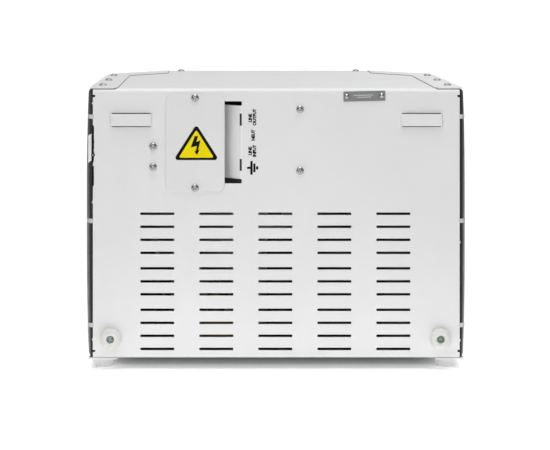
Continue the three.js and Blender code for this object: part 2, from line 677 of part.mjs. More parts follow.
function instrumentTray() {
  const wall = 1.2;
  let tray = cut(
    depthBox(-71, 71, 165, 495, -29, -17),
    depthBox(-71 + wall, 71 - wall, 165 + wall, 495 - wall, -29 + wall, -10),
  );
  for (const depth of [205, 255, 305, 355, 405, 455])
    for (const x of [-42, 0, 42])
      tray = cut(tray, depthBox(x - 14, x + 14, depth - 3, depth + 3, -32, -26));
  return tray;
}
piece(vessel, "instrument_tray", instrumentTray(), steel);

// ---------------------------------------------------------------- inner equipment
const inner = group(autoclave);

const GENERATOR_X = -172;
const generatorY = yAt(330);
const steamGenerator = union(
  rod("z", 30, 18, 150, GENERATOR_X, generatorY, 20),
  rod("z", 34, 148, 156, GENERATOR_X, generatorY, 20), // lid
  rod("z", 5, 155, 172, GENERATOR_X + 12, generatorY, 10),
  rod("z", 5, 155, 166, GENERATOR_X - 12, generatorY, 10),
);
piece(inner, "steam_generator", steamGenerator, brushed);

const PUMP_X = 172;
const vacuumPump = union(
  depthBox(PUMP_X - 34, PUMP_X + 34, 300, 372, 18, 92), // head
  depthRod(28, 210, 300.5, PUMP_X, 56, 18), // motor
  rod("z", 14, 90, 116, PUMP_X, yAt(336), 14),
  depthBox(146, 152, 200, 380, 16, 30), // rails
  depthBox(192, 198, 200, 380, 16, 30),
);
piece(inner, "vacuum_pump", vacuumPump, black);

const TANK_WALL = 3;
const waterTank = cut(
  depthBox(-214, -132, 40, 240, 20, 322),
  depthBox(
    -214 + TANK_WALL, -132 - TANK_WALL,
    40 + TANK_WALL, 240 - TANK_WALL,
    20 + TANK_WALL, 322 - TANK_WALL,
  ),
  rod("z", 14, 300, 340, -172, yAt(140), 14), // hole in the top
);
piece(inner, "water_tank", waterTank, tankPlastic);

// grooved on its rear and front faces
let condenser = depthBox(-110, 10, 34, 56, 36, 156);
for (let i = 0; i < 9; i++) {
  const z = 44 + i * 12.6;
  for (const [near, far] of [[26, 41], [49, 60]])
    condenser = cut(condenser, depthBox(-104, 4, near, far, z - 3.6, z + 3.6));
}
piece(inner, "condenser", condenser, brushed);

// square frame with a round opening, a hub and cross struts
const fanGroup = group(inner, [-50, yAt(74), 96]);
const fanFrame = union(
  cut(box(-60, 60, -12, 12, -60, 60), rod("y", 57, -20, 20, 0, 0, 28)),
  rod("y", 18, -11, -8, 0, 0, 14),
  box(-59, 59, -11, -9, -2, 2),
  box(-2, 2, -11, -9, -59, 59),
);
piece(fanGroup, "fan_frame", fanFrame, black);

const BLADES = 7;
const BLADE_PITCH = 0.6; // radians
const blade = turned(box(17, 54, -0.8, 0.8, -11, 11), "X", BLADE_PITCH).translate([0, 1, 0]);
let rotor = rod("y", 19, -7, 9, 0, 0, 14);
for (let i = 0; i < BLADES; i++)
  rotor = rotor.add(turned(blade, "Y", (i * 2 * Math.PI) / BLADES));
piece(fanGroup, "fan_rotor", rotor, black);

const valveBlock = union(
  depthBox(30, 118, 62, 92, 30, 56),
  ...[44, 74, 104].flatMap((x) => [
    rod("z", 11, 55, 92, x, yAt(77), 14),
    rod("z", 4, 91, 98, x, yAt(77), 8),
  ]),
  ...[52, 96].map((x) => depthRod(4, 52, 63, x, 42, 8)),
);
piece(inner, "valve_block", valveBlock, brass);

const SAFETY_VALVE_Z = DOOR_Z + 40;
const safetyValve = union(
  depthRod(11, 104, 119.3, 0, SAFETY_VALVE_Z, 6),
  depthRod(8, 88, 104.5, 0, SAFETY_VALVE_Z, 14),
  depthRod(10, 80, 88.5, 0, SAFETY_VALVE_Z, 14),
);
piece(inner, "safety_valve", safetyValve, brass);

let powerSupply = depthBox(134, 214, 110, 270, 190, 262);
for (let i = 0; i < 5; i++)
  powerSupply = cut(powerSupply, depthBox(140 + i * 15, 148 + i * 15, 100, 280, 250, 270));
piece(inner, "power_supply", powerSupply, brushed);

// ---------------------------------------------------------------- door hinge
const hingeY = yAt(HINGE_DEPTH);
const BRACKET_REAR = 505.3;

const hingeEar = (z) =>
  union(
    depthBox(...EAR_X, BRACKET_REAR, HINGE_DEPTH, z - EAR_HALF_H, z + EAR_HALF_H),
    rod("z", 9.2, z - EAR_HALF_H, z + EAR_HALF_H, HINGE_X, hingeY, 16),
  );
const bracket = union(
  ...EAR_Z.map(hingeEar),
  depthBox(...EAR_X, BRACKET_REAR, 511, EAR_Z[0] - EAR_HALF_H, EAR_Z[1] + EAR_HALF_H),
);
const bracketBore = rod("z", HINGE_BORE_R, 90, 200, HINGE_X, hingeY, 14);
piece(autoclave, "hinge_bracket", cut(bracket, bracketBore), brushed);

const hingePin = union(
  rod("z", HINGE_PIN_R, 93, 199.5, HINGE_X, hingeY, 14),
  rod("z", 6.5, 197.4, 200.5, HINGE_X, hingeY, 14), // head
);
piece(autoclave, "hinge_pin", hingePin, steel);

// ---------------------------------------------------------------- door
// drawn about the chamber axis
const door = group(autoclave, [0, 0, DOOR_Z]);
const boltY = yAt(BOLT_DEPTH);
const PLATE_REAR = 521.2;
const GROOVE_FLOOR = 524.6;
const GASKET_IN_R = 100.9;
const GASKET_OUT_R = 107.6;
const GROOVE_GAP = 0.4; // play on either side of the gasket

// disc with the gasket's groove in its rear face, (radius, depth)
const PLATE_PROFILE = [
  [0, PLATE_REAR],
  [GASKET_IN_R - GROOVE_GAP, PLATE_REAR], [GASKET_IN_R - GROOVE_GAP, GROOVE_FLOOR],
  [GASKET_OUT_R + GROOVE_GAP, GROOVE_FLOOR], [GASKET_OUT_R + GROOVE_GAP, PLATE_REAR],
  [DOOR_PLATE_R, PLATE_REAR], [DOOR_PLATE_R, 531], [0, 531],
];
const POSTS = [[54.6, 65], [-54.6, 65], [-29, -80], [29, -80]]; // (x, z)

function doorPlate() {
  const guide = cut(
    box(80, 103, yAt(BOLT_DEPTH + 9), yAt(530.5), -10, 10),
    rod("x", BOLT_R + 0.4, 70, 120, boltY, 0, 14),
  );
  return union(
    latheDepth(PLATE_PROFILE, 36),
    ...Object.values(BOLT_ANGLES).map((angle) => radial(guide, angle)),
    ...POSTS.map(([x, z]) => depthRod(5, 530, 579.8, x, z, 8)),
  );
}
piece(door, "door_plate", doorPlate(), brushed);
piece(door, "door_gasket", ring(GASKET_IN_R, GASKET_OUT_R, 521, 524.2, 36), silicone);

// dished shell with a hole for the handle's hub, (radius, depth)
const COVER_PROFILE = [
  [14.8, 583], [95, 583], [112, 580], [122, 573.5], [DOOR_COVER_R, 564],
  [DOOR_COVER_R, 552], [DOOR_COVER_R - 3, 552], [DOOR_COVER_R - 3, 563],
  [119.5, 571.3], [110, 577], [95, 580], [14.8, 580], [14.8, 583],
];
const hingeNotch = depthBox(-130, -98, 540, 572.4, -38.5, 38.5);
piece(door, "door_cover", cut(latheDepth(COVER_PROFILE, 40), hingeNotch), bezelWhite);

// barrel on the pin, arm behind the cover and foot on the door plate
const arm = union(
  rod("z", 8.4, -38, 38, HINGE_X, hingeY, 16),
  depthBox(HINGE_X, -72, HINGE_DEPTH - 5, HINGE_DEPTH + 5, -30, 30),
  depthBox(-96, -72, 531.4, HINGE_DEPTH + 5, -27, 27),
);
const armBore = rod("z", HINGE_BORE_R, -60, 60, HINGE_X, hingeY, 14);
piece(door, "hinge_arm", cut(arm, armBore), brushed);

// drawn pointing up and turned to point right, (x, z)
const GRIP = symmetric([[-13, -14], [-15, 20], [-11, 92], [-6, 100]]);
const handle = union(
  depthRod(14.2, 548, 600, 0, 0, 20),
  depthRod(26, 586, 600, 0, 0, 24),
  prismY(GRIP, yAt(606), yAt(588)),
);
piece(door, "door_handle", handle, black, [0, 0, 0], Math.PI / 2);

// disc with a scallop midway between bolts, and a boss towards the handle
let cam = depthRod(34, 533, 545, 0, 0, 24);
for (const angle of Object.values(BOLT_ANGLES))
  cam = cut(cam, radial(depthRod(12, 530, 550, 36, 0, 12), angle - 60));
cam = cam.add(depthRod(13.8, 544, 547.6, 0, 0, 16));
piece(door, "lock_cam", cam, brushed);

const bolt = rod("x", BOLT_R, 38, 110.5, boltY, 0, 14);
for (const [place, angle] of Object.entries(BOLT_ANGLES))
  piece(door, "lock_bolt_" + place, radial(bolt, angle), steel);

export default autoclave;
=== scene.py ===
import math

import bpy
import bmesh
from mathutils import Matrix, Vector
from mathutils.geometry import delaunay_2d_cdt


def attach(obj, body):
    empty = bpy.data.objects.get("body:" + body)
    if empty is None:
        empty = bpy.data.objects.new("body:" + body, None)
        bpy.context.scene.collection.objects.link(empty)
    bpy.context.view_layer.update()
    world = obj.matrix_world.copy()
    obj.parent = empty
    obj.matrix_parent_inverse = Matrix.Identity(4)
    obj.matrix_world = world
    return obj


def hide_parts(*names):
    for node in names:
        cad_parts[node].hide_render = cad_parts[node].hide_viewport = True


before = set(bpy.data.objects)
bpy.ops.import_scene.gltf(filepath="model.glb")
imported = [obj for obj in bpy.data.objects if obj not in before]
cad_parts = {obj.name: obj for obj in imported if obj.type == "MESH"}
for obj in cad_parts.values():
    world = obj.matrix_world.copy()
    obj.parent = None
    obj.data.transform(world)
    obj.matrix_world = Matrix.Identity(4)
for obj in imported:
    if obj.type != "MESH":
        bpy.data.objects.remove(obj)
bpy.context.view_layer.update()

# All lengths below are millimetres in the row frame; DEPTH is measured forwards from the rear cover's face.
BACK_Y = 297.0
PANEL_BOTTOM, TOP_Z, HALF_W = 13.6, 341.8, 223.8
BEND_R, SHEET = 5.5, 1.2
SEAM_X, TONGUE_X, FRONT_D = 193.4, 143.2, 550.0
DOOR_Z, GAUGE_X, STRIP_Z = 146.0, -100.0, 309.0
HINGE_X, HINGE_D = -140.0, 566.0
PI = math.pi


def Y(depth):
    return BACK_Y - depth


# ------------------------------------------------------------------ materials
def lin(v):
    v = v / 255.0
    return v / 12.92 if v <= 0.04045 else ((v + 0.055) / 1.055) ** 2.4


def rgb(r, g, b):
    return (lin(r), lin(g), lin(b), 1.0)


class Mat:
    """A small node-tree writer: every material here is procedural, in object space, so scales are in 1/metre."""

    def __init__(self, name, rough=0.5, metal=0.0, coat=0.0, spec=0.5):
        self.m = bpy.data.materials.new(name)
        self.m.use_nodes = True
        self.t = self.m.node_tree
        self.b = self.t.nodes["Principled BSDF"]
        self.b.inputs["Roughness"].default_value = rough
        self.b.inputs["Metallic"].default_value = metal
        self.b.inputs["Coat Weight"].default_value = coat
        self.b.inputs["Coat Roughness"].default_value = 0.08
        self.b.inputs["Specular IOR Level"].default_value = spec
        self.co = self.t.nodes.new("ShaderNodeTexCoord").outputs["Object"]
        self.bump = None

    def node(self, kind, **inputs):
        n = self.t.nodes.new(kind)
        for k, v in inputs.items():
            n.inputs[k].default_value = v
        return n

    def link(self, a, b):
        self.t.links.new(a, b)

    def noise(self, scale, detail=3.0, rough=0.5, stretch=None):
        n = self.node("ShaderNodeTexNoise", Scale=scale, Detail=detail, Roughness=rough)
        src = self.co
        if stretch:
            mp = self.node("ShaderNodeMapping", Scale=stretch)
            self.link(src, mp.inputs["Vector"])
            src = mp.outputs["Vector"]
        self.link(src, n.inputs["Vector"])
        return n.outputs["Fac"]

    def ramp(self, fac, stops):
        r = self.t.nodes.new("ShaderNodeValToRGB")
        while len(r.color_ramp.elements) < len(stops):
            r.color_ramp.elements.new(0.5)
        for e, (p, c) in zip(r.color_ramp.elements, stops):
            e.position = p
            e.color = c if len(c) == 4 else (*c, 1)
        self.link(fac, r.inputs["Fac"])
        return r.outputs["Color"]

    def color(self, fac, a, b, lo=0.35, hi=0.65):
        self.link(self.ramp(fac, [(lo, a), (hi, b)]), self.b.inputs["Base Color"])
        return self

    def roughness(self, fac, a, b, lo=0.3, hi=0.7):
        m = self.node("ShaderNodeMapRange")
        m.inputs["From Min"].default_value, m.inputs["From Max"].default_value = lo, hi
        m.inputs["To Min"].default_value, m.inputs["To Max"].default_value = a, b
        self.link(fac, m.inputs["Value"])
        self.link(m.outputs["Result"], self.b.inputs["Roughness"])
        return self

    def height(self, fac, strength, distance):
        n = self.node("ShaderNodeBump", Strength=strength, Distance=distance)
        self.link(fac, n.inputs["Height"])
        if self.bump:
            self.link(self.bump, n.inputs["Normal"])
        self.bump = n.outputs["Normal"]
        self.link(self.bump, self.b.inputs["Normal"])
        return self


def powder(name, a, b, rough=0.42):
    m = Mat(name, rough, spec=0.4)
    m.color(m.noise(7, 4, 0.55), a, b)
    m.roughness(m.noise(160, 4), rough - 0.05, rough + 0.08)
    m.height(m.noise(900, 2), 0.12, 0.0003)
    m.height(m.noise(230, 2), 0.05, 0.0008)
    return m.m


def moulded(name, a, b, rough=0.4, grain=2200, depth=0.12):
    m = Mat(name, rough)
    m.color(m.noise(14, 4), a, b)
    m.roughness(m.noise(90, 3), rough - 0.06, rough + 0.08)
    m.height(m.noise(grain, 2), depth, 0.0002)
    return m.m


def brushed(name, a, b, rough=0.3, axis=(1, 60, 60)):
    m = Mat(name, rough, metal=1.0)
    lines = m.noise(45, 5, 0.65, stretch=axis)
    m.color(lines, a, b, 0.3, 0.7)
    m.roughness(lines, rough - 0.08, rough + 0.16)
    m.height(lines, 0.12, 0.0002)
    m.b.inputs["Anisotropic"].default_value = 0.4
    return m.m


def plated(name, a, b, rough=0.16):
    m = Mat(name, rough, metal=1.0)
    m.color(m.noise(260, 5, 0.6), a, b)
    m.roughness(m.noise(500, 4), rough - 0.05, rough + 0.14)
    m.height(m.noise(1300, 3), 0.06, 0.0002)
    return m.m


def rubber(name, a, b, rough=0.62):
    m = Mat(name, rough, spec=0.35)
    m.color(m.noise(60, 5), a, b)
    m.roughness(m.noise(300, 4), rough - 0.08, rough + 0.12)
    m.height(m.noise(1500, 3), 0.2, 0.0003)
    return m.m


def gloss(name, a, b, rough=0.12, coat=0.5, spec=0.5):
    m = Mat(name, rough, coat=coat, spec=spec)
    m.color(m.noise(10, 4), a, b)
    m.roughness(m.noise(60, 5, 0.6), rough, rough + 0.09)
    m.height(m.noise(520, 2), 0.03, 0.0004)
    return m.m


def printed(name, a, b):
    m = Mat(name, 0.6, spec=0.08)
    m.color(m.noise(40, 4), a, b)
    m.roughness(m.noise(120, 3), 0.5, 0.7)
    m.height(m.noise(900, 2), 0.05, 0.0002)
    return m.m


M = {
    "powder": powder("powder_coat_white", rgb(229, 229, 229), rgb(232, 232, 233)),
    # painted shade: a darker copy of the powder coat for the side-panel hooks, whose side-turned faces are in shade
    "powder_tab_painted_shade": powder("powder_coat_tabs_painted_shade", rgb(200, 200, 199), rgb(206, 206, 205)),
    "powder_plate": powder("powder_coat_cover_plate", rgb(225, 225, 225), rgb(229, 229, 229)),
    "bezel": moulded("bezel_satin_white", rgb(229, 230, 228), rgb(234, 234, 232), 0.36, 1600, 0.08),
    "dark": gloss("side_panel_dark_grey", rgb(17, 18, 19), rgb(23, 24, 25), 0.26, 0.06, 0.3),
    # black foam that also paints the shade in the gap between cover and side skin
    "gap": rubber("gap_foam_painted_shade", rgb(5, 5, 5), rgb(9, 9, 9), 0.9),
    "foot": rubber("foot_rubber", rgb(224, 224, 224), rgb(229, 229, 229)),
    "overlay": gloss("overlay_film", rgb(30, 33, 38), rgb(36, 39, 44), 0.3, 0.15),
    "lens": gloss("display_lens", rgb(16, 24, 26), rgb(20, 29, 31), 0.06, 0.9),
    "segment": gloss("display_segments", rgb(150, 226, 214), rgb(165, 234, 224), 0.3, 0.1),
    "ink": printed("printed_ink_dark", rgb(14, 14, 17), rgb(20, 20, 23)),
    "print_light": gloss("printed_ink_light", rgb(205, 208, 212), rgb(214, 217, 220), 0.4, 0.0),
    "yellow": printed("label_yellow", rgb(240, 220, 9), rgb(244, 225, 11)),
    # a grey seal strip whose tone paints the shadow line along the top seams
    "bead": rubber("seam_seal_painted_shade", rgb(146, 146, 145), rgb(156, 156, 155), 0.6),
    "ivory": rubber("ivory_rubber", rgb(214, 214, 210), rgb(220, 220, 217)),
    "nickel_satin": plated("screw_nickel_satin", rgb(176, 177, 178), rgb(194, 195, 196), 0.58),
    "nickel": plated("screw_nickel", rgb(160, 162, 164), rgb(186, 187, 188), 0.14),
    "zinc": plated("screw_zinc", rgb(150, 176, 178), rgb(176, 196, 190), 0.22),
    "zinc_green": plated("screw_zinc_green", rgb(140, 158, 146), rgb(166, 180, 166), 0.24),
    # the galvanised base pan is kept dark grey, partly as painted shade for the machine's underside
    "galvanised": plated("galvanised_sheet_painted_shade", rgb(122, 126, 128), rgb(140, 144, 146), 0.4),
    # cast brass and the tank plastic below are darkened, partly as painted shade for the inside seen through the slots
    "cast_brass_painted_shade": plated("cast_brass_painted_shade", rgb(112, 92, 52), rgb(130, 108, 64), 0.4),
    "chrome": plated("chrome_trim", rgb(205, 207, 209), rgb(218, 219, 221), 0.1),
    "steel": brushed("brushed_steel", rgb(176, 178, 180), rgb(200, 202, 203)),
    "steel_y": brushed("brushed_steel_long", rgb(172, 174, 176), rgb(198, 199, 200), 0.32, (60, 1, 60)),
    "plate": brushed("nameplate_foil", rgb(130, 131, 132), rgb(148, 149, 150), 0.38, (2, 60, 60)),
    "brass": plated("machined_brass", rgb(178, 146, 82), rgb(196, 166, 100), 0.26),
    "black": moulded("black_plastic", rgb(26, 26, 28), rgb(33, 33, 35), 0.5, 1500, 0.3),
    "grey": moulded("grey_plastic", rgb(128, 132, 136), rgb(140, 144, 148), 0.42),
    "green": moulded("green_plastic", rgb(44, 146, 84), rgb(54, 158, 94), 0.36),
    "red": moulded("red_plastic", rgb(176, 46, 40), rgb(190, 56, 48), 0.36),
    "tank": moulded("tank_plastic", rgb(52, 56, 58), rgb(62, 66, 68), 0.45, 600, 0.2),
    "board": moulded("solder_mask", rgb(26, 88, 50), rgb(36, 104, 60), 0.35, 1800, 0.2),
    "foam": rubber("glass_jacket", rgb(186, 178, 158), rgb(206, 200, 180), 0.9),
    "silicone": rubber("silicone_seal", rgb(196, 92, 50), rgb(206, 104, 60), 0.5),
    "bumper": rubber("bumper_rubber", rgb(215, 215, 211), rgb(220, 220, 217)),
    "dial": moulded("dial_face", rgb(238, 238, 234), rgb(244, 244, 241), 0.45, 900, 0.05),
    "needle": moulded("needle_red", rgb(170, 34, 30), rgb(184, 42, 38), 0.4),
}
# the flap inside the terminal opening: painted light, a lighter copy of the powder coat with an emission ramp across X
# that paints in the light the pale recess throws back on it
p = Mat("powder_coat_flap_painted_light", 0.42, spec=0.4)
p.color(p.noise(7, 4, 0.55), rgb(240, 240, 241), rgb(244, 244, 245))
p.roughness(p.noise(160, 4), 0.37, 0.5)
p.height(p.noise(900, 2), 0.12, 0.0003)
p.height(p.noise(230, 2), 0.05, 0.0008)
p_xyz = p.t.nodes.new("ShaderNodeSeparateXYZ")
p.link(p.co, p_xyz.inputs["Vector"])
flap_light_map = p.node("ShaderNodeMapRange")
flap_light_map.inputs["From Min"].default_value, flap_light_map.inputs["From Max"].default_value = 0.0425, 0.064
p.link(p_xyz.outputs["X"], flap_light_map.inputs["Value"])
p.link(p.ramp(flap_light_map.outputs["Result"], [(k, (v, v, v)) for k, v in (
    (0.047, 0.0), (0.093, 0.04), (0.135, 0.09), (0.25, 0.115), (0.37, 0.16), (0.48, 0.19), (0.647, 0.135), (0.76, 0.1), (0.874, 0.075), (0.95, 0.06))]), p.b.inputs["Emission Color"])
p.b.inputs["Emission Strength"].default_value = 1.0
M["powder_flap_painted_light"] = p.m

# light goes a little way into the pale rubber, which softens its edges
for key, weight in (("bumper", 0.45), ("foot", 0.3)):
    skin_in = [n for n in M[key].node_tree.nodes if n.type == "BSDF_PRINCIPLED"][0].inputs
    skin_in["Subsurface Weight"].default_value = weight
    skin_in["Subsurface Radius"].default_value = (1.0, 0.95, 0.85)
    skin_in["Subsurface Scale"].default_value = 0.006
g = Mat("dial_glass", 0.03)
g.b.inputs["Transmission Weight"].default_value = 1.0
g.b.inputs["Alpha"].default_value = 0.25
g.color(g.noise(30), rgb(238, 244, 244), rgb(246, 250, 250))
g.roughness(g.noise(40), 0.02, 0.06)
M["glass"] = g.m

f = Mat("pale_floor", 0.75, spec=0.2)
f.color(f.noise(2.0, 4), rgb(248, 248, 248), rgb(251, 251, 251))
f.roughness(f.noise(3), 0.7, 0.8)
# painted light and shade: the floor's emission rises away from the machine; dimmed under and just outside the
# footprint it paints the contact shadow, and beside it the glow lights the machine's lower parts; the far floor is
# white to the camera
split = f.t.nodes.new("ShaderNodeSeparateXYZ")
f.link(f.co, split.inputs["Vector"])


def floor_math(op, a, b=None):
    n = f.t.nodes.new("ShaderNodeMath")
    n.operation = op
    for i, v in enumerate((a, b)):
        if isinstance(v, float):
            n.inputs[i].default_value = v
        elif v is not None:
            f.link(v, n.inputs[i])
    return n.outputs["Value"]


# distance outside the footprint: sides, rear, front and the angled front corners
side_x = floor_math("ABSOLUTE", split.outputs["X"])
gap_s = floor_math("MULTIPLY", floor_math("SUBTRACT", side_x, 0.218), 3.0)
gap_b = floor_math("SUBTRACT", split.outputs["Y"], 0.297)
gap_f = floor_math("SUBTRACT", floor_math("MULTIPLY", split.outputs["Y"], -1.0), 0.253)
gap_c = floor_math("SUBTRACT", floor_math("SUBTRACT", floor_math("MULTIPLY", side_x, 0.835), floor_math("MULTIPLY", split.outputs["Y"], 0.55)), 0.2546)
gap_r = floor_math("MAXIMUM", floor_math("MAXIMUM", gap_s, gap_b), floor_math("MAXIMUM", gap_f, gap_c))
near = floor_math("ADD", gap_r, 0.1)  # zero at 0.1 m inside the footprint's edge
near = floor_math("MINIMUM", near, 1.0)
# emission ramp by distance from the footprint: painted contact shadow under the machine and painted light from the
# floor beside it
painted_glow = f.ramp(near, [(0.1 + k, (v, v, v)) for k, v in (
    (-0.1, 0.02), (-0.072, 0.08), (-0.057, 0.12), (-0.041, 0.18), (-0.026, 0.33), (-0.011, 0.4), (0.004, 0.17), (0.019, 0.28), (0.04, 0.74), (0.1, 0.54), (0.2, 0.26), (0.45, 0.1), (0.9, 0.05))])
f.link(painted_glow, f.b.inputs["Emission Color"])
f.b.inputs["Emission Strength"].default_value = 1.0
far = f.node("ShaderNodeMapRange")
far.interpolation_type = "SMOOTHSTEP"
far.inputs["From Min"].default_value, far.inputs["From Max"].default_value = 0.035, 0.16
f.link(gap_r, far.inputs["Value"])
eye = f.t.nodes.new("ShaderNodeLightPath")
white = f.t.nodes.new("ShaderNodeEmission")
white.inputs["Strength"].default_value = 1.1
fade = f.t.nodes.new("ShaderNodeMixShader")
f.link(floor_math("MULTIPLY", far.outputs["Result"], eye.outputs["Is Camera Ray"]), fade.inputs["Fac"])
f.link(f.b.outputs["BSDF"], fade.inputs[1])
f.link(white.outputs["Emission"], fade.inputs[2])
f.link(fade.outputs["Shader"], f.t.nodes["Material Output"].inputs["Surface"])
M["floor"] = f.m


# ------------------------------------------------------------------ mesh writer
def vec(p):
    return Vector((p[0], p[1]))


def area(loop):
    return 0.5 * sum(
        loop[i - 1].x * loop[i].y - loop[i].x * loop[i - 1].y for i in range(len(loop))
    )


def oriented(loop, ccw):
    loop = [vec(p) for p in loop]
    return loop if (area(loop) > 0) == ccw else loop[::-1]


def mitre(p0, p, p1, sign):
    e0, e1 = (p - p0).normalized(), (p1 - p).normalized()
    n0, n1 = Vector((-e0.y, e0.x)), Vector((-e1.y, e1.x))
    den = 1 + n0.dot(n1)
    return sign * ((n0 + n1) / den if den > 0.15 else n0)


def offset_loop(loop, dist):
    n = len(loop)
    return [loop[i] + mitre(loop[i - 1], loop[i], loop[(i + 1) % n], 1) * dist for i in range(n)]


def inside(p, loop):
    hit = False
    for i in range(len(loop)):
        a, b = loop[i - 1], loop[i]
        if (a.y > p.y) != (b.y > p.y) and p.x < (b.x - a.x) * (p.y - a.y) / (b.y - a.y) + a.x:
            hit = not hit
    return hit


def rrect(cx, cy, w, h, r, n=5):
    r = min(r, w / 2 - 1e-3, h / 2 - 1e-3)
    out = []
    for sx, sy, a0 in ((1, 1, 0), (-1, 1, 90), (-1, -1, 180), (1, -1, 270)):
        for i in range(n + 1):
            a = math.radians(a0 + 90 * i / n)
            out.append((cx + sx * (w / 2 - r) + r * math.cos(a), cy + sy * (h / 2 - r) + r * math.sin(a)))
    return out


def circle(cx, cy, r, n=32):
    return [(cx + r * math.cos(2 * PI * i / n), cy + r * math.sin(2 * PI * i / n)) for i in range(n)]


def rounded(points, r, n=5):
    """A closed outline with each corner filleted; r is a number or a list with one radius per corner."""
    pts = [vec(p) for p in points]
    out = []
    for i, p in enumerate(pts):
        rad = r[i] if isinstance(r, (list, tuple)) else r
        a, b = pts[i - 1], pts[(i + 1) % len(pts)]
        da, db = (a - p), (b - p)
        u, v = da.normalized(), db.normalized()
        ang = math.acos(max(-1, min(1, u.dot(v))))
        if rad <= 0 or ang > PI - 0.01:
            out.append(tuple(p))
            continue
        cutlen = min(rad / math.tan(ang / 2), da.length * 0.48, db.length * 0.48)
        rr = cutlen * math.tan(ang / 2)
        c = p + (u + v).normalized() * (rr / math.sin(ang / 2))
        s, e = p + u * cutlen - c, p + v * cutlen - c
        a0, a1 = math.atan2(s.y, s.x), math.atan2(e.y, e.x)
        d = (a1 - a0 + PI) % (2 * PI) - PI
        for k in range(n + 1):
            t = a0 + d * k / n
            out.append((c.x + rr * math.cos(t), c.y + rr * math.sin(t)))
    return out


def plane(origin, u, v, n):
    o, u, v, n = map(Vector, (origin, u, v, n))
    return lambda a, b: (o + u * a + v * b, n)


def rear(y=0.0):
    """(x, z) on the rear face, y proud of it."""
    return plane((0, BACK_Y + y, 0), (1, 0, 0), (0, 0, 1), (0, 1, 0))


def front(depth, x=0.0, z=0.0):
    return plane((x, Y(depth), z), (1, 0, 0), (0, 0, 1), (0, -1, 0))


def level(z):
    """(x, depth) on a horizontal face."""
    return plane((0, BACK_Y, z), (1, 0, 0), (0, -1, 0), (0, 0, 1))


def along(path, left=1):
    """(distance along an (x, depth) path, z): a sheet bent on vertical lines. The outside is to the path's left."""
    pts = [Vector((p[0], p[1])) for p in path]
    cum = [0.0]
    for a, b in zip(pts, pts[1:]):
        cum.append(cum[-1] + (b - a).length)
    segn = []
    for a, b in zip(pts, pts[1:]):
        d = (b - a).normalized()
        segn.append(Vector((-d.y, d.x)) * left)
    normals = [segn[0]] + [(x + y).normalized() / max(0.5, (x + y).normalized().dot(x)) for x, y in zip(segn, segn[1:])] + [segn[-1]]

    def f(s, z):
        i = 0
        while i < len(pts) - 2 and s > cum[i + 1]:
            i += 1
        t = (s - cum[i]) / (cum[i + 1] - cum[i])
        p = pts[i].lerp(pts[i + 1], t)
        tc = max(0.0, min(1.0, t))
        n = normals[i].lerp(normals[i + 1], tc)
        return Vector((p.x, Y(p.y), z)), Vector((n.x, -n.y, 0))

    f.cum = cum
    return f


def place(loc, out, up=(0, 0, 1)):
    """Local Z points outwards, local Y up."""
    z = Vector(out).normalized()
    x = Vector(up).cross(z).normalized()
    y = z.cross(x)
    m = Matrix((x, y, z)).transposed().to_4x4()
    m.translation = Vector(loc)
    return m


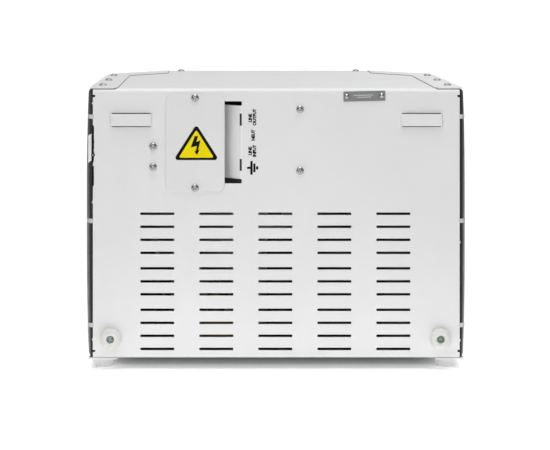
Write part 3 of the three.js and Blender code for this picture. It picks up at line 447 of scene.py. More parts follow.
class Geo:
    def __init__(self):
        self.v, self.f, self.m = [], [], []

    def add(self, verts, faces, mat=0, matrix=None):
        k = len(self.v)
        for p in verts:
            p = Vector(p)
            self.v.append(matrix @ p if matrix is not None else p)
        for face in faces:
            self.f.append([k + i for i in face])
            self.m.append(mat)
        return self

    def sheet(self, outline, fmap, t, holes=(), lines=(), b=0.25, seg=2, mat=0, matrix=None):
        """A plate or bent sheet: its outline, holes and bend lines are flat, and fmap bends it. Edges are rounded by b."""
        b = min(b, t / 2 - 1e-4)
        loops = [offset_loop(oriented(outline, True), b)]
        loops += [offset_loop(oriented(h, False), b) for h in holes]
        verts, edges = [], []
        for loop in loops:
            k = len(verts)
            verts += loop
            edges += [(k + i, k + (i + 1) % len(loop)) for i in range(len(loop))]
        for a, c in lines:
            k = len(verts)
            verts += [vec(a), vec(c)]
            edges.append((k, k + 1))
        cv, _, cf, *_ = delaunay_2d_cdt(verts, edges, [], 0, 1e-5, False)
        boxes = [
            (min(p.x for p in h), max(p.x for p in h), min(p.y for p in h), max(p.y for p in h), h)
            for h in loops[1:]
        ]
        keep = []
        for face in cf:
            c = sum((cv[i] for i in face), Vector((0, 0))) / len(face)
            if not inside(c, loops[0]):
                continue
            if any(x0 < c.x < x1 and y0 < c.y < y1 and inside(c, h) for x0, x1, y0, y1, h in boxes):
                continue
            a, bb, cc = (cv[i] for i in face[:3])
            if (bb - a).cross(cc - a) < 0:
                face = face[::-1]
            keep.append(list(face))
        directed = {(face[i], face[(i + 1) % len(face)]) for face in keep for i in range(len(face))}
        border = [(i, j) for i, j in directed if (j, i) not in directed]
        nxt, prv = {}, {}
        for i, j in sorted(border):
            nxt[i], prv[j] = j, i
        used = sorted({i for face in keep for i in face})
        out_v, index = [], {}

        def put(key, u, v, dep):
            if key not in index:
                p, n = fmap(u, v)
                index[key] = len(out_v)
                out_v.append(p - n * dep)
            return index[key]

        for i in used:
            put(("f", i), cv[i].x, cv[i].y, 0.0)
            put(("k", i), cv[i].x, cv[i].y, t)
        rings = []
        for k in range(seg + 1):
            a = PI / 2 * k / seg
            rings.append((b * math.sin(a), b * (1 - math.cos(a))))
        rings += [(o, t - d) for o, d in reversed(rings)]
        last = len(rings) - 1

        def ring(i, k):
            if k == 0:
                return index[("f", i)]
            if k == last:
                return index[("k", i)]
            if (k, i) not in index:
                m = mitre(cv[prv[i]], cv[i], cv[nxt[i]], -1)
                p = cv[i] + m * rings[k][0]
                put((k, i), p.x, p.y, rings[k][1])
            return index[(k, i)]

        faces = [[index[("f", i)] for i in face] for face in keep]
        faces += [[index[("k", i)] for i in reversed(face)] for face in keep]
        for i, j in sorted(border):
            for k in range(last):
                q = [ring(j, k), ring(i, k), ring(i, k + 1), ring(j, k + 1)]
                if len(set(q)) == 4 and (out_v[q[1]] - out_v[q[2]]).length > 1e-7:
                    faces.append(q)
        return self.add(out_v, faces, mat, matrix)

    def lathe(self, profile, seg=48, mat=0, matrix=None):
        """profile is (radius, height) from axis to axis, or closed on itself, turned about local Z."""
        closed = profile[0] == profile[-1]
        pts = profile[:-1] if closed else profile
        verts, ids = [], []
        for r, h in pts:
            if r < 1e-6:
                ids.append([len(verts)] * seg)
                verts.append((0, 0, h))
            else:
                ids.append([len(verts) + k for k in range(seg)])
                verts += [(r * math.cos(2 * PI * k / seg), r * math.sin(2 * PI * k / seg), h) for k in range(seg)]
        faces = []
        n = len(pts)
        for i in range(n if closed else n - 1):
            a, b = ids[i], ids[(i + 1) % n]
            for k in range(seg):
                q = [a[k], a[(k + 1) % seg], b[(k + 1) % seg], b[k]]
                q = [x for x, y in zip(q, q[1:] + q[:1]) if x != y]
                if len(q) > 2:
                    faces.append(q)
        return self.add(verts, faces, mat, matrix)

    def grid(self, rows, mat=0, closed_u=False):
        k = [[len(self.v) + i * len(rows[0]) + j for j in range(len(rows[0]))] for i in range(len(rows))]
        for row in rows:
            self.v += [Vector(p) for p in row]
        n = len(rows)
        for i in range(n if closed_u else n - 1):
            for j in range(len(rows[0]) - 1):
                a, b = k[i], k[(i + 1) % n]
                self.f.append([a[j], a[j + 1], b[j + 1], b[j]])
                self.m.append(mat)
        return k

    def bar(self, x0, x1, y0, y1, z0, z1, b=0.5, mat=0, matrix=None, seg=2):
        """A block with rounded edges."""
        fm = plane((0, 0, z1), (1, 0, 0), (0, 1, 0), (0, 0, 1))
        return self.sheet(
            rrect((x0 + x1) / 2, (y0 + y1) / 2, x1 - x0, y1 - y0, b, 3), fm, z1 - z0, b=b, seg=seg, mat=mat, matrix=matrix
        )

    def mesh(self, me, mat=0, matrix=None):
        return self.add([v.co.copy() for v in me.vertices], [list(p.vertices) for p in me.polygons], mat, matrix)

    def done(self, name, mats, body="casing", slot=None, replaces=(), sharp=35, weighted=True):
        me = bpy.data.meshes.new(name)
        me.from_pydata([tuple(p * 0.001) for p in self.v], [], self.f)
        for key in mats:
            me.materials.append(M[key])
        me.polygons.foreach_set("material_index", self.m)
        bm = bmesh.new()
        bm.from_mesh(me)
        bmesh.ops.remove_doubles(bm, verts=bm.verts, dist=1e-7)
        bmesh.ops.recalc_face_normals(bm, faces=bm.faces)
        bm.to_mesh(me)
        bm.free()
        me.shade_smooth()
        me.set_sharp_from_angle(angle=math.radians(sharp))
        me.update()
        o = bpy.data.objects.new(name, me)
        bpy.context.scene.collection.objects.link(o)
        if weighted:
            w = o.modifiers.new("weighted", "WEIGHTED_NORMAL")
            w.keep_sharp = True
            w.weight = 60
        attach(o, body)
        if replaces:
            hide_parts(*replaces)
        return o


def raw_mesh(geo, name):
    me = bpy.data.meshes.new(name)
    me.from_pydata([tuple(p) for p in geo.v], [], geo.f)
    bm = bmesh.new()
    bm.from_mesh(me)
    bmesh.ops.remove_doubles(bm, verts=bm.verts, dist=1e-5)
    bmesh.ops.recalc_face_normals(bm, faces=bm.faces)
    bm.to_mesh(me)
    bm.free()
    return me


def carve(a, b, op="DIFFERENCE"):
    """Boolean of two closed Geo solids, as a mesh in millimetres."""
    oa = bpy.data.objects.new("tmp_a", raw_mesh(a, "tmp_a"))
    ob = bpy.data.objects.new("tmp_b", raw_mesh(b, "tmp_b"))
    for o in (oa, ob):
        bpy.context.scene.collection.objects.link(o)
    m = oa.modifiers.new("cut", "BOOLEAN")
    m.operation, m.object, m.solver = op, ob, "EXACT"
    bpy.context.view_layer.update()
    me = bpy.data.meshes.new_from_object(oa.evaluated_get(bpy.context.evaluated_depsgraph_get()))
    bpy.data.objects.remove(oa)
    bpy.data.objects.remove(ob)
    return me


def lettering(text, size, thick=0.12, bold=0.0, spacing=1.0):
    """Plain generic marks as a thin solid, centred, in local XY facing +Z (millimetres)."""
    c = bpy.data.curves.new("tmp_text", "FONT")
    c.body, c.size, c.align_x, c.align_y = text, size, "CENTER", "CENTER"
    c.extrude = thick / 2
    c.offset = bold
    c.space_character = spacing
    c.resolution_u = 3
    o = bpy.data.objects.new("tmp_text", c)
    bpy.context.scene.collection.objects.link(o)
    bpy.context.view_layer.update()
    me = bpy.data.meshes.new_from_object(o.evaluated_get(bpy.context.evaluated_depsgraph_get()))
    bpy.data.objects.remove(o)
    return me


# ------------------------------------------------------------------ screws
def make_screw(head_r=4.75, head_h=3.0):
    head = Geo().lathe(
        [(0, head_h), (head_r * 0.3, head_h * 0.985), (head_r * 0.55, head_h * 0.9), (head_r * 0.76, head_h * 0.74),
         (head_r * 0.9, head_h * 0.53), (head_r * 0.98, head_h * 0.3), (head_r, head_h * 0.12), (head_r * 0.985, 0),
         (head_r * 0.5, -0.6), (0, -0.6)], 40)
    cutter = Geo()
    rings = []
    for z, arm, w in ((head_h + 0.6, head_r * 0.66, 0.74), (head_h - 0.9, head_r * 0.5, 0.56), (head_h - 2.1, head_r * 0.24, 0.42)):
        rings.append([(x, y, z) for x, y in (
            (arm, -w), (arm, w), (w, w), (w, arm), (-w, arm), (-w, w), (-arm, w), (-arm, -w), (-w, -w), (-w, -arm), (w, -arm), (w, -w))])
    vs = [p for r in rings for p in r]
    fs = [[k * 12 + i, k * 12 + (i + 1) % 12, (k + 1) * 12 + (i + 1) % 12, (k + 1) * 12 + i] for k in range(2) for i in range(12)]
    fs += [list(range(12))[::-1], list(range(24, 36))]
    cutter.add(vs, fs)
    return carve(head, cutter)


SCREW = make_screw()
TINY_SCREW = make_screw(3.95, 2.3)


def screw(geo, loc, out, angle, me=SCREW, mat=0, up=(0, 0, 1)):
    geo.mesh(me, mat, place(loc, out, up) @ Matrix.Rotation(math.radians(angle), 4, "Z"))


def washer(geo, loc, out, r, h, mat=0, up=(0, 0, 1)):
    geo.lathe([(0, h), (r - 0.3, h), (r, h - 0.25), (r, 0), (0, 0)], 32, mat, place(loc, out, up))


# ------------------------------------------------------------------ rear and top cover
S1 = TOP_Z - BEND_R - PANEL_BOTTOM
ARC = BEND_R * PI / 2


def cover_map(u, s):
    if s <= S1:
        return Vector((u, BACK_Y, PANEL_BOTTOM + s)), Vector((0, 1, 0))
    if s < S1 + ARC:
        a = (s - S1) / BEND_R
        return (
            Vector((u, Y(BEND_R - BEND_R * math.cos(a)), TOP_Z - BEND_R + BEND_R * math.sin(a))),
            Vector((0, math.cos(a), math.sin(a))),
        )
    return Vector((u, Y(BEND_R + s - S1 - ARC), TOP_Z)), Vector((0, 0, 1))


def sz(z):
    return z - PANEL_BOTTOM


def sd(d):
    return S1 + ARC + d - BEND_R


def notch(side, z0, z1, x):
    """Outline points that step in from the side edge to x between z0 and z1."""
    return [(side * HALF_W, sz(z0)), (side * x, sz(z0)), (side * x, sz(z1)), (side * HALF_W, sz(z1))]


right_edge = [(HALF_W, 0.0)]
right_edge += notch(1, 20.0, 22.7, 221.1)
right_edge += notch(1, 222.6, 246.8, 222.5)
right_edge += [(HALF_W, sz(250.6)), (222.9, sz(252.0)), (222.5, sz(254.4)), (222.7, sz(257.6)), (222.4, sz(263.6)), (222.9, sz(266.0)), (222.3, sz(268.4)),
               (222.4, sz(274.2)), (222.0, sz(276.4)), (222.5, sz(279.0)), (222.4, sz(294.8)), (222.9, sz(296.4)), (HALF_W, sz(296.6))]
right_edge += notch(1, 331.0, 333.7, 221.1)
CUT = S1 + BEND_R * math.asin((340.2 - TOP_Z + BEND_R) / BEND_R)  # the corners stop part of the way round the bend
corner_R = [(HALF_W, CUT), (SEAM_X + 3.4, CUT), (SEAM_X, sd(5.5)), (SEAM_X, sd(371)), (TONGUE_X, sd(452)), (TONGUE_X, sd(543)),
            (141.4, sd(546.4)), (138.0, sd(549.2)), (134.0, sd(550.8)), (129, sd(551.6))]
left_edge = [(-HALF_W, 0.0)] + notch(-1, 20.0, 22.7, 221.1) + notch(-1, 331.0, 333.7, 221.1)
corner_L = [(-x, s) for x, s in corner_R]
outline = right_edge + corner_R + corner_L[::-1] + left_edge[::-1]

SLOT_X = [145, 73, 1, -71, -143]
SLOT_Z = [z - 139.25 for z in (328, 312.1, 296.2, 280.3, 261.4, 245.5, 229.7, 210.8, 194.9, 179.1, 163.1)]
holes = [rrect(x + 0.1, sz(z), 41.3, 3.1, 0.5, 3) for x in SLOT_X for z in SLOT_Z]
holes.append(rrect(80.05, sz(275.9), 75.9, 100.2, 0.8, 3))
holes += [rrect(x, sz(303.1), 47.6, 16.8, 0.6, 2) for x in (177, -177.3)]
holes += [circle(x, sz(z), 2.6, 16) for x, z in ((99.1, 330.2), (99.1, 220.6), (150.3, 270.9), (150.3, 246.0), (-29.0, 316.4), (-29.0, 241.3))]
bend_lines = [((-260, S1 + ARC * k / 8), (260, S1 + ARC * k / 8)) for k in range(9)]

cover = Geo()
cover.sheet(outline, cover_map, SHEET, holes, bend_lines, b=0.2, seg=2)


def smooth_path(points, r, n=6):
    """An open path with filleted corners."""
    pts = [vec(p) for p in points]
    out = [tuple(pts[0])]
    for i in range(1, len(pts) - 1):
        p, a, b = pts[i], pts[i - 1], pts[i + 1]
        u, v = (a - p).normalized(), (b - p).normalized()
        ang = math.acos(max(-1, min(1, u.dot(v))))
        rad = r[i - 1] if isinstance(r, (list, tuple)) else r
        if ang > PI - 0.02 or rad <= 0:
            out.append(tuple(p))
            continue
        cl = min(rad / math.tan(ang / 2), (a - p).length * 0.49, (b - p).length * 0.49)
        rr = cl * math.tan(ang / 2)
        c = p + (u + v).normalized() * (rr / math.sin(ang / 2))
        s, e = p + u * cl - c, p + v * cl - c
        a0, a1 = math.atan2(s.y, s.x), math.atan2(e.y, e.x)
        d = (a1 - a0 + PI) % (2 * PI) - PI
        out += [(c.x + rr * math.cos(a0 + d * k / n), c.y + rr * math.sin(a0 + d * k / n)) for k in range(n + 1)]
    out.append(tuple(pts[-1]))
    return out


def bent_strip(geo, path, z0, z1, t, left=1, holes=(), b=0.25, mat=0, corner=0.8):
    fm = along(path, left)
    L = fm.cum[-1]
    lines = [((s, z0 - 5), (s, z1 + 5)) for s in fm.cum[1:-1]]
    geo.sheet(rrect(L / 2, (z0 + z1) / 2, L, z1 - z0, corner, 3), fm, t, holes, lines, b=b, mat=mat)


# terminal flap, bent inwards from the opening's right-hand edge
flap_path = smooth_path([(41.4, 0.05), (43.4, 0.05), (61.5, 23), (68, 28.2), (112.5, 28.2)], [2.2, 3, 3])
# the flap takes the lighter, glowing copy of the powder coat (mat 2): painted light
bent_strip(cover, flap_path, 231.0, 320.6, SHEET, left=-1,
           holes=[rrect(2.65, 303.55, 4.5, 14.9, 0.4, 2), rrect(2.65, 248.3, 4.5, 14.6, 0.4, 2)], mat=2)
# a black strip behind the flap's relief slots: painted shade, so the slots read dark
bent_strip(cover, [(40.6, 2.9), (43.6, 3.1), (45.0, 4.2), (49.5, 10.4)], 233, 318.6, 0.6, left=-1, mat=3)
# lanced bridges that keep the casing off the wall
for cx in (177.0, -177.3):
    p = smooth_path([(cx - 28.4, 0.02), (cx - 26.0, 0.02), (cx - 24.4, -3.9), (cx + 24.4, -3.9), (cx + 26.0, 0.02), (cx + 28.4, 0.02)], [0.8, 1.2, 1.2, 0.8], 4)
    bent_strip(cover, p, 295.8, 310.7, SHEET, left=-1, corner=1.2)


def bulge_at(z):
    e = max(0.0, min(4.0, z - 13.9, 340.0 - z))
    return (1 - 0.3 * abs((z - 177.7) / 164) ** 3) * (0.45 + 0.55 * math.sqrt(1 - ((4 - e) / 4) ** 2))


RIVETS_R = (323.4, 202.6, 35.4)
RIVETS_L = (153.8, 34.2)
# hooks that hold the side panels' rear edges, and the side return flanges
for s in (1, -1):
    for z in (307.3, 180.1, 52.9):
        k = bulge_at(z)
        pts = [(222.6, 0.0), (223.9, -0.3), (224.3 + 9 * 0.271 * k + 0.6, 0.1)]
        for e, d in ((0.436, 3.3), (0.6, 7.4), (0.72, 11.6)):
            pts.append((224.3 + 9 * e * k + 0.85, d))
        p = [(s * x, d) for x, d in smooth_path(pts, 1.2, 3)]
        # the hooks take the darker copy of the powder coat (mat 1): painted shade
        bent_strip(cover, p, z - 2.6, z + 2.6, 0.75, left=-s, mat=1)
    q = [(s * (HALF_W - 0.1), 0.9), (s * (HALF_W - 0.1), 12)]
    bent_strip(cover, q, 23.4, 221.5, 1.0, left=-s)
    # white snap rivets that fix the return flange
    for z in (RIVETS_R if s > 0 else RIVETS_L):
        cover.lathe([(0, 1.5), (1.1, 1.4), (2.0, 0.9), (2.4, 0.1), (2.4, -0.6), (0, -0.6)], 20, 0, place((s * (HALF_W - 0.1), BACK_Y - 2.9, z), (s, 0, 0)))
    bent_strip(cover, q, 297.5, 330.5, 1.0, left=-s)
cover.done("rear_top_cover_sheet", ["powder", "powder_tab_painted_shade", "powder_flap_painted_light", "black"], slot="powder_white", replaces=["rear_top_cover"])

# ------------------------------------------------------------------ side frames
RISE = 0.9
STRIP_SCREWS = (60, 205, 355)
EDGE = [(227.8, 100), (226.4, 300), (224.6, 400), (224.2, 412), (222.4, 421.8), (218.3, 430.4)]
for s, side in ((1, "right"), (-1, "left")):
    g = Geo()
    top = [(SEAM_X + 0.7, 5.4), (SEAM_X + 3.9, 1.7), (228.2, 1.7)] + EDGE + [(147.8, 537.2), (TONGUE_X + 0.7, 543.3), (TONGUE_X + 0.7, 452.4), (SEAM_X + 0.7, 371.4)]
    top = rounded([(s * x, d) for x, d in top], [1, 3, 1.2, 0, 0, 0, 0, 0, 8, 6, 0.5, 3, 3])
    g.sheet(top, level(TOP_Z + RISE), SHEET, holes=[circle(s * 214.4, d, 2.4, 16) for d in STRIP_SCREWS], b=0.3)
    flange = [(SEAM_X + 0.5, -0.3), (229, -0.3)] + EDGE + [(SEAM_X + 0.5, 430.4)]
    flange = rounded([(s * x, d) for x, d in flange], [1, 2, 0, 0, 0, 0, 0, 4, 1])
    g.sheet(flange, level(13.2), 2.0, b=0.4)
    bent_strip(g, [(s * 220.2, 4.3), (s * 220.2, 402)], 12.6, TOP_Z + 0.1, 1.2, left=-s)
    g.done("side_frame_" + side + "_sheet", ["powder"], slot="powder_white", replaces=["side_frame_" + side])
    # a grey seal laid along the seam between this flange and the cover, which paints the seam's shadow line
    g = Geo()
    bead = smooth_path([(s * 196.7, 1.3), (s * 193.25, 5.2), (s * 193.25, 371.0), (s * 143.05, 452.0), (s * 143.05, 543.0)], [1, 3, 3], 4)
    bent_strip(g, bead, TOP_Z - 0.9, TOP_Z + RISE - 0.02, 0.65, left=s, b=0.2, corner=0.3)
    bent_strip(g, [(s * 222.9, 2.0), (s * 196.4, 2.0)], 339.9, 341.45, 0.6, left=s, b=0.15, corner=0.3)
    # dark foam behind the edge gap, black so that it also paints the gap's shade
    g.bar(min(s * 220.95, s * 223.9), max(s * 220.95, s * 223.9), Y(14), Y(12.7), 15, 339, 0.3, mat=2)
    g.done("side_frame_" + side + "_seal", ["bead", "black", "gap"], slot="black_plastic")

    # bowed outer skin
    skin = Geo()
    depths = [1.5, 2.2, 3.2, 4.6, 6.5, 9, 12, 16, 21, 27, 34, 42, 60, 90, 130, 150, 180, 210, 240, 265, 290, 310, 330, 348, 364, 378, 390, 402.5]
    ends = [0.0, 0.12, 0.4, 0.85, 1.45, 2.2, 3.05, 4.0]
    zs = [13.9 + e for e in ends] + [17.9 + 318.1 * j / 32 for j in range(1, 32)] + [340.0 - e for e in ends[::-1]]
    nz = len(zs) - 1

    def skin_x(d, z, inset):
        e = math.sqrt(max(0.0, 1 - ((40 - d) / 40) ** 2)) if d < 40 else 1.0
        k = d < 150 and 1.0 or 1 - ((d - 150) / 252.5) ** 3
        x = 224.3 - 0.9 * d / 402.5 + 9 * e * k * bulge_at(z)
        if inset:
            x = x - inset if d > 20 else max(x - inset, min(x - 0.6, 224.1))
        return x

    loop = [(d, 0.0) for d in depths] + [(depths[-1], 1.1), (depths[-1], 2.2)] + [(d, 2.2) for d in depths[::-1][1:]] + [(depths[0], 1.1)]
    rows = []
    for d, inset in loop:
        rows.append([(s * skin_x(d, z, inset), Y(d), z) for z in zs])
    ids = skin.grid(rows, closed_u=True)
    half = len(depths)
    for j in (0, nz):
        caps = [[i, i + 1, 2 * half - i - 1, 2 * half - i] for i in range(half - 1)]
        caps += [[half - 1, half, half + 1], [0, 2 * half, 2 * half + 1]]
        for cap in caps:
            skin.f.append([ids[i][j] for i in cap])
            skin.m.append(0)
    skin.done("side_panel_" + side + "_skin", ["dark"], slot="dark_panel", replaces=["side_panel_" + side])

clip = Geo()
clip.sheet(rounded([(225.5, 286.8), (229.5, 284), (229.5, 250.4), (225.5, 253.8)], 0.5, 3), rear(0.7), 1.4, b=0.3)
clip_screw = place((223.7, BACK_Y + 0.1, 260.6), (0, 1, 0))
clip.lathe([(0.9, 0.9), (2.1, 0.8), (2.4, 0.3), (2.4, -0.4), (0.9, -0.4), (0.9, 0.9)], 20, 1, clip_screw)
clip.lathe([(0, 0.7), (0.7, 0.6), (0.88, 0.2), (0.88, -0.3), (0, -0.3)], 16, 0, clip_screw)
clip.done("side_service_clip_plate", ["powder", "black"], slot="bezel_white", replaces=["side_service_clip"])

# ------------------------------------------------------------------ feet and bumpers
foot_prof = [(0, 0), (9.0, 0), (10.4, 0.5), (11.3, 1.7), (12.6, 6.2), (13.4, 9.4), (13.75, 10.4), (13.4, 10.9), (0, 10.9)]
for name, x, d in (("foot_rear_right", 210.8, 19), ("foot_rear_left", -207, 19), ("foot_front_right", 210.8, 392), ("foot_front_left", -207, 392)):
    Geo().lathe(foot_prof, 48, 0, place((x, Y(d), 0), (0, 0, 1), (0, 1, 0))).done(name + "_moulding", ["foot"], slot="ivory_rubber", replaces=[name])
bumper_prof = [(0, 0.4), (11.9, 0.4), (12.3, 0.8), (12.7, 3.0), (12.9, 5.4), (12.55, 7.6), (11.6, 9.7), (10.3, 11.2), (8.6, 12), (6.6, 12),
               (5.3, 11.5), (4.55, 10.4), (4.25, 8.6), (4.2, 6.6), (4.0, 6.2), (0, 6.2)]
for side, x in (("right", 202.2), ("left", -200)):
    g = Geo().lathe(bumper_prof, 56, 0, place((x, BACK_Y, 36.8), (0, 1, 0)))
    screw(g, (x, BACK_Y + 6.9, 36.8), (0, 1, 0), 20 if x > 0 else 62, TINY_SCREW, 1)
    g.done("rear_bumper_" + side + "_moulding", ["bumper", "zinc" if x > 0 else "zinc_green"], slot="ivory_rubber", replaces=["rear_bumper_" + side])

# ------------------------------------------------------------------ terminal cover, its sign, screws, nameplate
g = Geo()
g.sheet(rrect(98.9, 275.3, 71.8, 119.4, 8.6, 8), rear(1.7), 1.3, b=0.5, seg=3, holes=[circle(99.1, 330.2, 2.5, 16), circle(99.1, 220.6, 2.5, 16)])
g.done("terminal_cover_plate", ["powder_plate"], slot="powder_white", replaces=["terminal_cover"])


def tri(cx, z0, w, h, r, n=6):
    return rounded([(cx - w / 2, z0), (cx + w / 2, z0), (cx, z0 + h)], r, n)


CX = 97.5
sign = Geo()
sign.sheet(tri(CX, 254.4, 55.8, 43.6, 3.0), rear(1.86), 0.16, b=0.05, seg=1, mat=0)
sign.sheet(tri(CX, 257.3, 43.0, 34.1, 1.5), rear(1.95), 0.12, b=0.04, seg=1, mat=1)
bolt = [(-1.4, 26.4), (2.6, 26.4), (0.5, 19.4), (5.5, 21.2), (2.7, 9.4), (4.4, 9.9), (1.1, 3.2), (-2.0, 7.8), (-0.2, 8.2), (1.0, 14.4), (-6.5, 12.4)]
sign.sheet([(CX + 0.4 - u, 257.3 + v) for u, v in bolt], rear(2.02), 0.12, b=0.04, seg=1, mat=0)
sign.done("terminal_sign", ["ink", "yellow"], slot="powder_white")

for name, x, z, y, a in (
    ("terminal_cover_screw_upper", 99.1, 330.2, 1.75, 18), ("terminal_cover_screw_lower", 99.1, 220.6, 1.75, 40),
    ("rear_screw_right_upper", 150.3, 270.9, 0.1, 31), ("rear_screw_right_lower", 150.3, 246.0, 0.1, 8),
    ("rear_screw_middle_upper", -29.0, 316.4, 0.1, 52), ("rear_screw_middle_lower", -29.0, 241.3, 0.1, 24)):
    g = Geo()
    screw(g, (x, BACK_Y + y, z), (0, 1, 0), a)
    g.done(name + "_head", ["nickel"], slot="zinc_steel", replaces=[name])

g = Geo()
ca, sa = math.cos(-0.024), math.sin(-0.024)
fm = plane((-107.4, BACK_Y + 0.9, 332.3), (ca, 0, sa), (-sa, 0, ca), (0, 1, 0))
g.sheet(rrect(0, 0, 51, 12.2, 0.9, 3), fm, 0.8, b=0.2, mat=0)
fm2 = plane((-107.4, BACK_Y + 0.98, 332.3), (ca, 0, sa), (-sa, 0, ca), (0, 1, 0))
for k, (w, z) in enumerate(((24, 1.2), (17, -1.2))):
    g.sheet(rrect(0 if k else 1, z, w, 0.8, 0.3, 2), fm2, 0.1, b=0.03, seg=1, mat=1)
for dx in (-21.3, 21.3):
    p = Vector((-107.4 + dx * ca, BACK_Y + 0.9, 332.3 + dx * sa))
    g.lathe([(0, 1.9), (1.1, 1.8), (2.1, 1.4), (2.9, 0.6), (3.2, 0), (0, 0)], 28, 2, place(p, (0, 1, 0)))
g.done("nameplate_foil", ["plate", "print_light", "nickel"], slot="plate_metal", replaces=["nameplate"])

# terminal marks: plain generic words beside an earth symbol, turned a quarter
g = Geo()
turn = Matrix.Rotation(math.radians(90), 4, "Z")
for text, x, z in (("LINE", 31.6, 305.6), ("OUTPUT", 26.3, 306.6), ("NEUT", 28.0, 284.7), ("LINE", 31.7, 265.4), ("INPUT", 26.4, 265.4)):
    g.mesh(lettering(text, 5.4, bold=0.27, spacing=0.92), 0, place((x, BACK_Y + 0.1, z), (0, 1, 0)) @ turn)
mark = rear(0.12)
EZ = 244.8
for x, w, h in ((33.2, 4.8, 2.5), (30.2, 2.8, 16.8), (26.7, 2.7, 10.6)):
    g.sheet(rrect(x, EZ, w, h, 0.4, 2), mark, 0.12, b=0.04, seg=1)
g.sheet(rrect(23.4, EZ, 2.7, 4.3, 1.2, 4), mark, 0.12, b=0.04, seg=1)
g.done("terminal_marks", ["ink"], slot="powder_white")

# screws of the top and the side strips
g = Geo()
for i, (x, d) in enumerate([(s * 214.4, d) for s in (1, -1) for d in STRIP_SCREWS] + [(126, 534), (-126, 534)]):
    screw(g, (x, Y(d), TOP_Z + (RISE if i < 6 else 0) + 0.02), (0, 0, 1), 17 + 37 * i, SCREW, 0, up=(0, 1, 0))
g.done("top_screws", ["nickel_satin"], slot="zinc_steel")

# ------------------------------------------------------------------ front bezel
half = [(0, FRONT_D), (130, FRONT_D), (147, 536.5), (217.5, 429.5), (223.2, 414), (223.4, 404)]
right = smooth_path(half, [14, 12, 16, 6], 10)
path = [(-x, d) for x, d in right[::-1]] + right[1:]
bez = along(path, left=1)
mid = bez.cum[-1] / 2


def s_of(x):
    """Distance along the bezel's path at which it passes x."""
    for i in range(len(path) - 1):
        a, b = path[i], path[i + 1]
        if a[0] <= x <= b[0]:
            return bez.cum[i] + (x - a[0]) / (b[0] - a[0]) * (bez.cum[i + 1] - bez.cum[i])
    raise ValueError(x)


b_holes = [
    circle(mid, DOOR_Z, 123.5, 96),
    circle(mid + GAUGE_X, STRIP_Z, 22.6, 40),
    rrect(mid - 15, STRIP_Z, 92, 36, 2, 3),
    rrect(s_of(182), 58, 19.6, 26.8, 1.5, 3),
    circle(s_of(-182), 52, 9.6, 32),
]
b_holes += [circle(mid + x, STRIP_Z, 8.5, 28) for x in (52, 80, 108)]
for z in (101, 191):
    b_holes.append(rrect((s_of(-151.6) + s_of(-130.4)) / 2, z, s_of(-130.4) - s_of(-151.6), 13.2, 1.5, 3))
L = bez.cum[-1]
b_lines = [((s, 0), (s, 360)) for s in bez.cum[1:-1] if abs(s - mid) > 1]
g = Geo()
g.sheet(rrect(L / 2, (13.7 + 340.2) / 2, L, 340.2 - 13.7, 1.2, 3), bez, 3.0, b_holes, b_lines, b=0.9, seg=3)
g.done("front_bezel_moulding", ["bezel"], slot="bezel_white", replaces=["front_bezel"])

# shadow-gap trim between bezel and side panels
g = Geo()
for s in (1, -1):
    bent_strip(g, [(s * 221.6, 403.2), (s * 221.6, 410)], 15, 339, 1.0, left=-s)
g.done("bezel_joint_trim", ["black"], slot="black_plastic")

# ------------------------------------------------------------------ control strip
g = Geo()
strip_holes = [circle(GAUGE_X, 0, 22.7, 40), rrect(-15, 0, 90.8, 34.8, 2, 3)] + [circle(x, 0, 8.6, 28) for x in (52, 80, 108)]
g.sheet(rrect(0, 0, 258, 50, 6, 6), front(FRONT_D + 1.6, 0, STRIP_Z), 1.5, strip_holes, b=0.35, seg=2)
fmk = front(FRONT_D + 1.68, 0, STRIP_Z)
for x in (52, 80, 108):
    ring_o = circle(x, 0, 10.6, 40)
    g.sheet(ring_o, fmk, 0.1, [circle(x, 0, 9.9, 40)], b=0.03, seg=1, mat=1)
for x, w in ((52, 9), (80, 9), (108, 9)):
    g.sheet(rrect(x, -16.5, w, 1.0, 0.4, 2), fmk, 0.1, b=0.03, seg=1, mat=1)
g.sheet(rrect(-15, 20.8, 60, 0.7, 0.3, 2), fmk, 0.1, b=0.03, seg=1, mat=1)
g.done("control_overlay", ["overlay", "print_light"], slot="overlay", replaces=["control_panel"])

g = Geo()
g.sheet(rrect(-15, 0, 89.6, 33.6, 1.6, 4), front(FRONT_D + 1.9, 0, STRIP_Z), 1.6, b=0.4, mat=0)
fseg = front(FRONT_D + 1.98, 0, STRIP_Z)
SEGS = {"1": "bc", "3": "abgcd", "4": "fgbc", "2": "abged", "0": "abcdef", "8": "abcdefg", "5": "afgcd"}


def digit(geo, ch, cx, cz, h, mat):
    w = h * 0.5
    t = h * 0.1
    bars = {"a": (0, h / 2, w, t), "d": (0, -h / 2, w, t), "g": (0, 0, w, t), "b": (w / 2, h / 4, t, h / 2), "c": (w / 2, -h / 4, t, h / 2),
            "f": (-w / 2, h / 4, t, h / 2), "e": (-w / 2, -h / 4, t, h / 2)}
    for k in SEGS[ch]:
        x, z, bw, bh = bars[k]
        long_x = bw > bh
        bw, bh = (bw - t * 1.1, bh) if long_x else (bw, bh - t * 1.1)
        geo.sheet(rrect(cx + x, cz + z, bw, bh, t * 0.35, 2), fseg, 0.1, b=0.03, seg=1, mat=mat)


for i, ch in enumerate("134"):
    digit(g, ch, -47 + i * 12.5, 1.5, 16, 1)
for i, ch in enumerate("18"):
    digit(g, ch, 0 + i * 10.5, 3.0, 12, 1)
g.sheet(circle(-12.5, 9.5, 1.1, 14), fseg, 0.1, b=0.03, seg=1, mat=1)
for i in range(10):
    g.sheet(rrect(-50 + i * 7.4, -12.2, 5.6, 2.2, 0.3, 2), fseg, 0.1, b=0.03, seg=1, mat=1 if i < 6 else 2)
g.done("display_lens_glass", ["lens", "segment", "overlay"], slot="window", replaces=["display_window"])

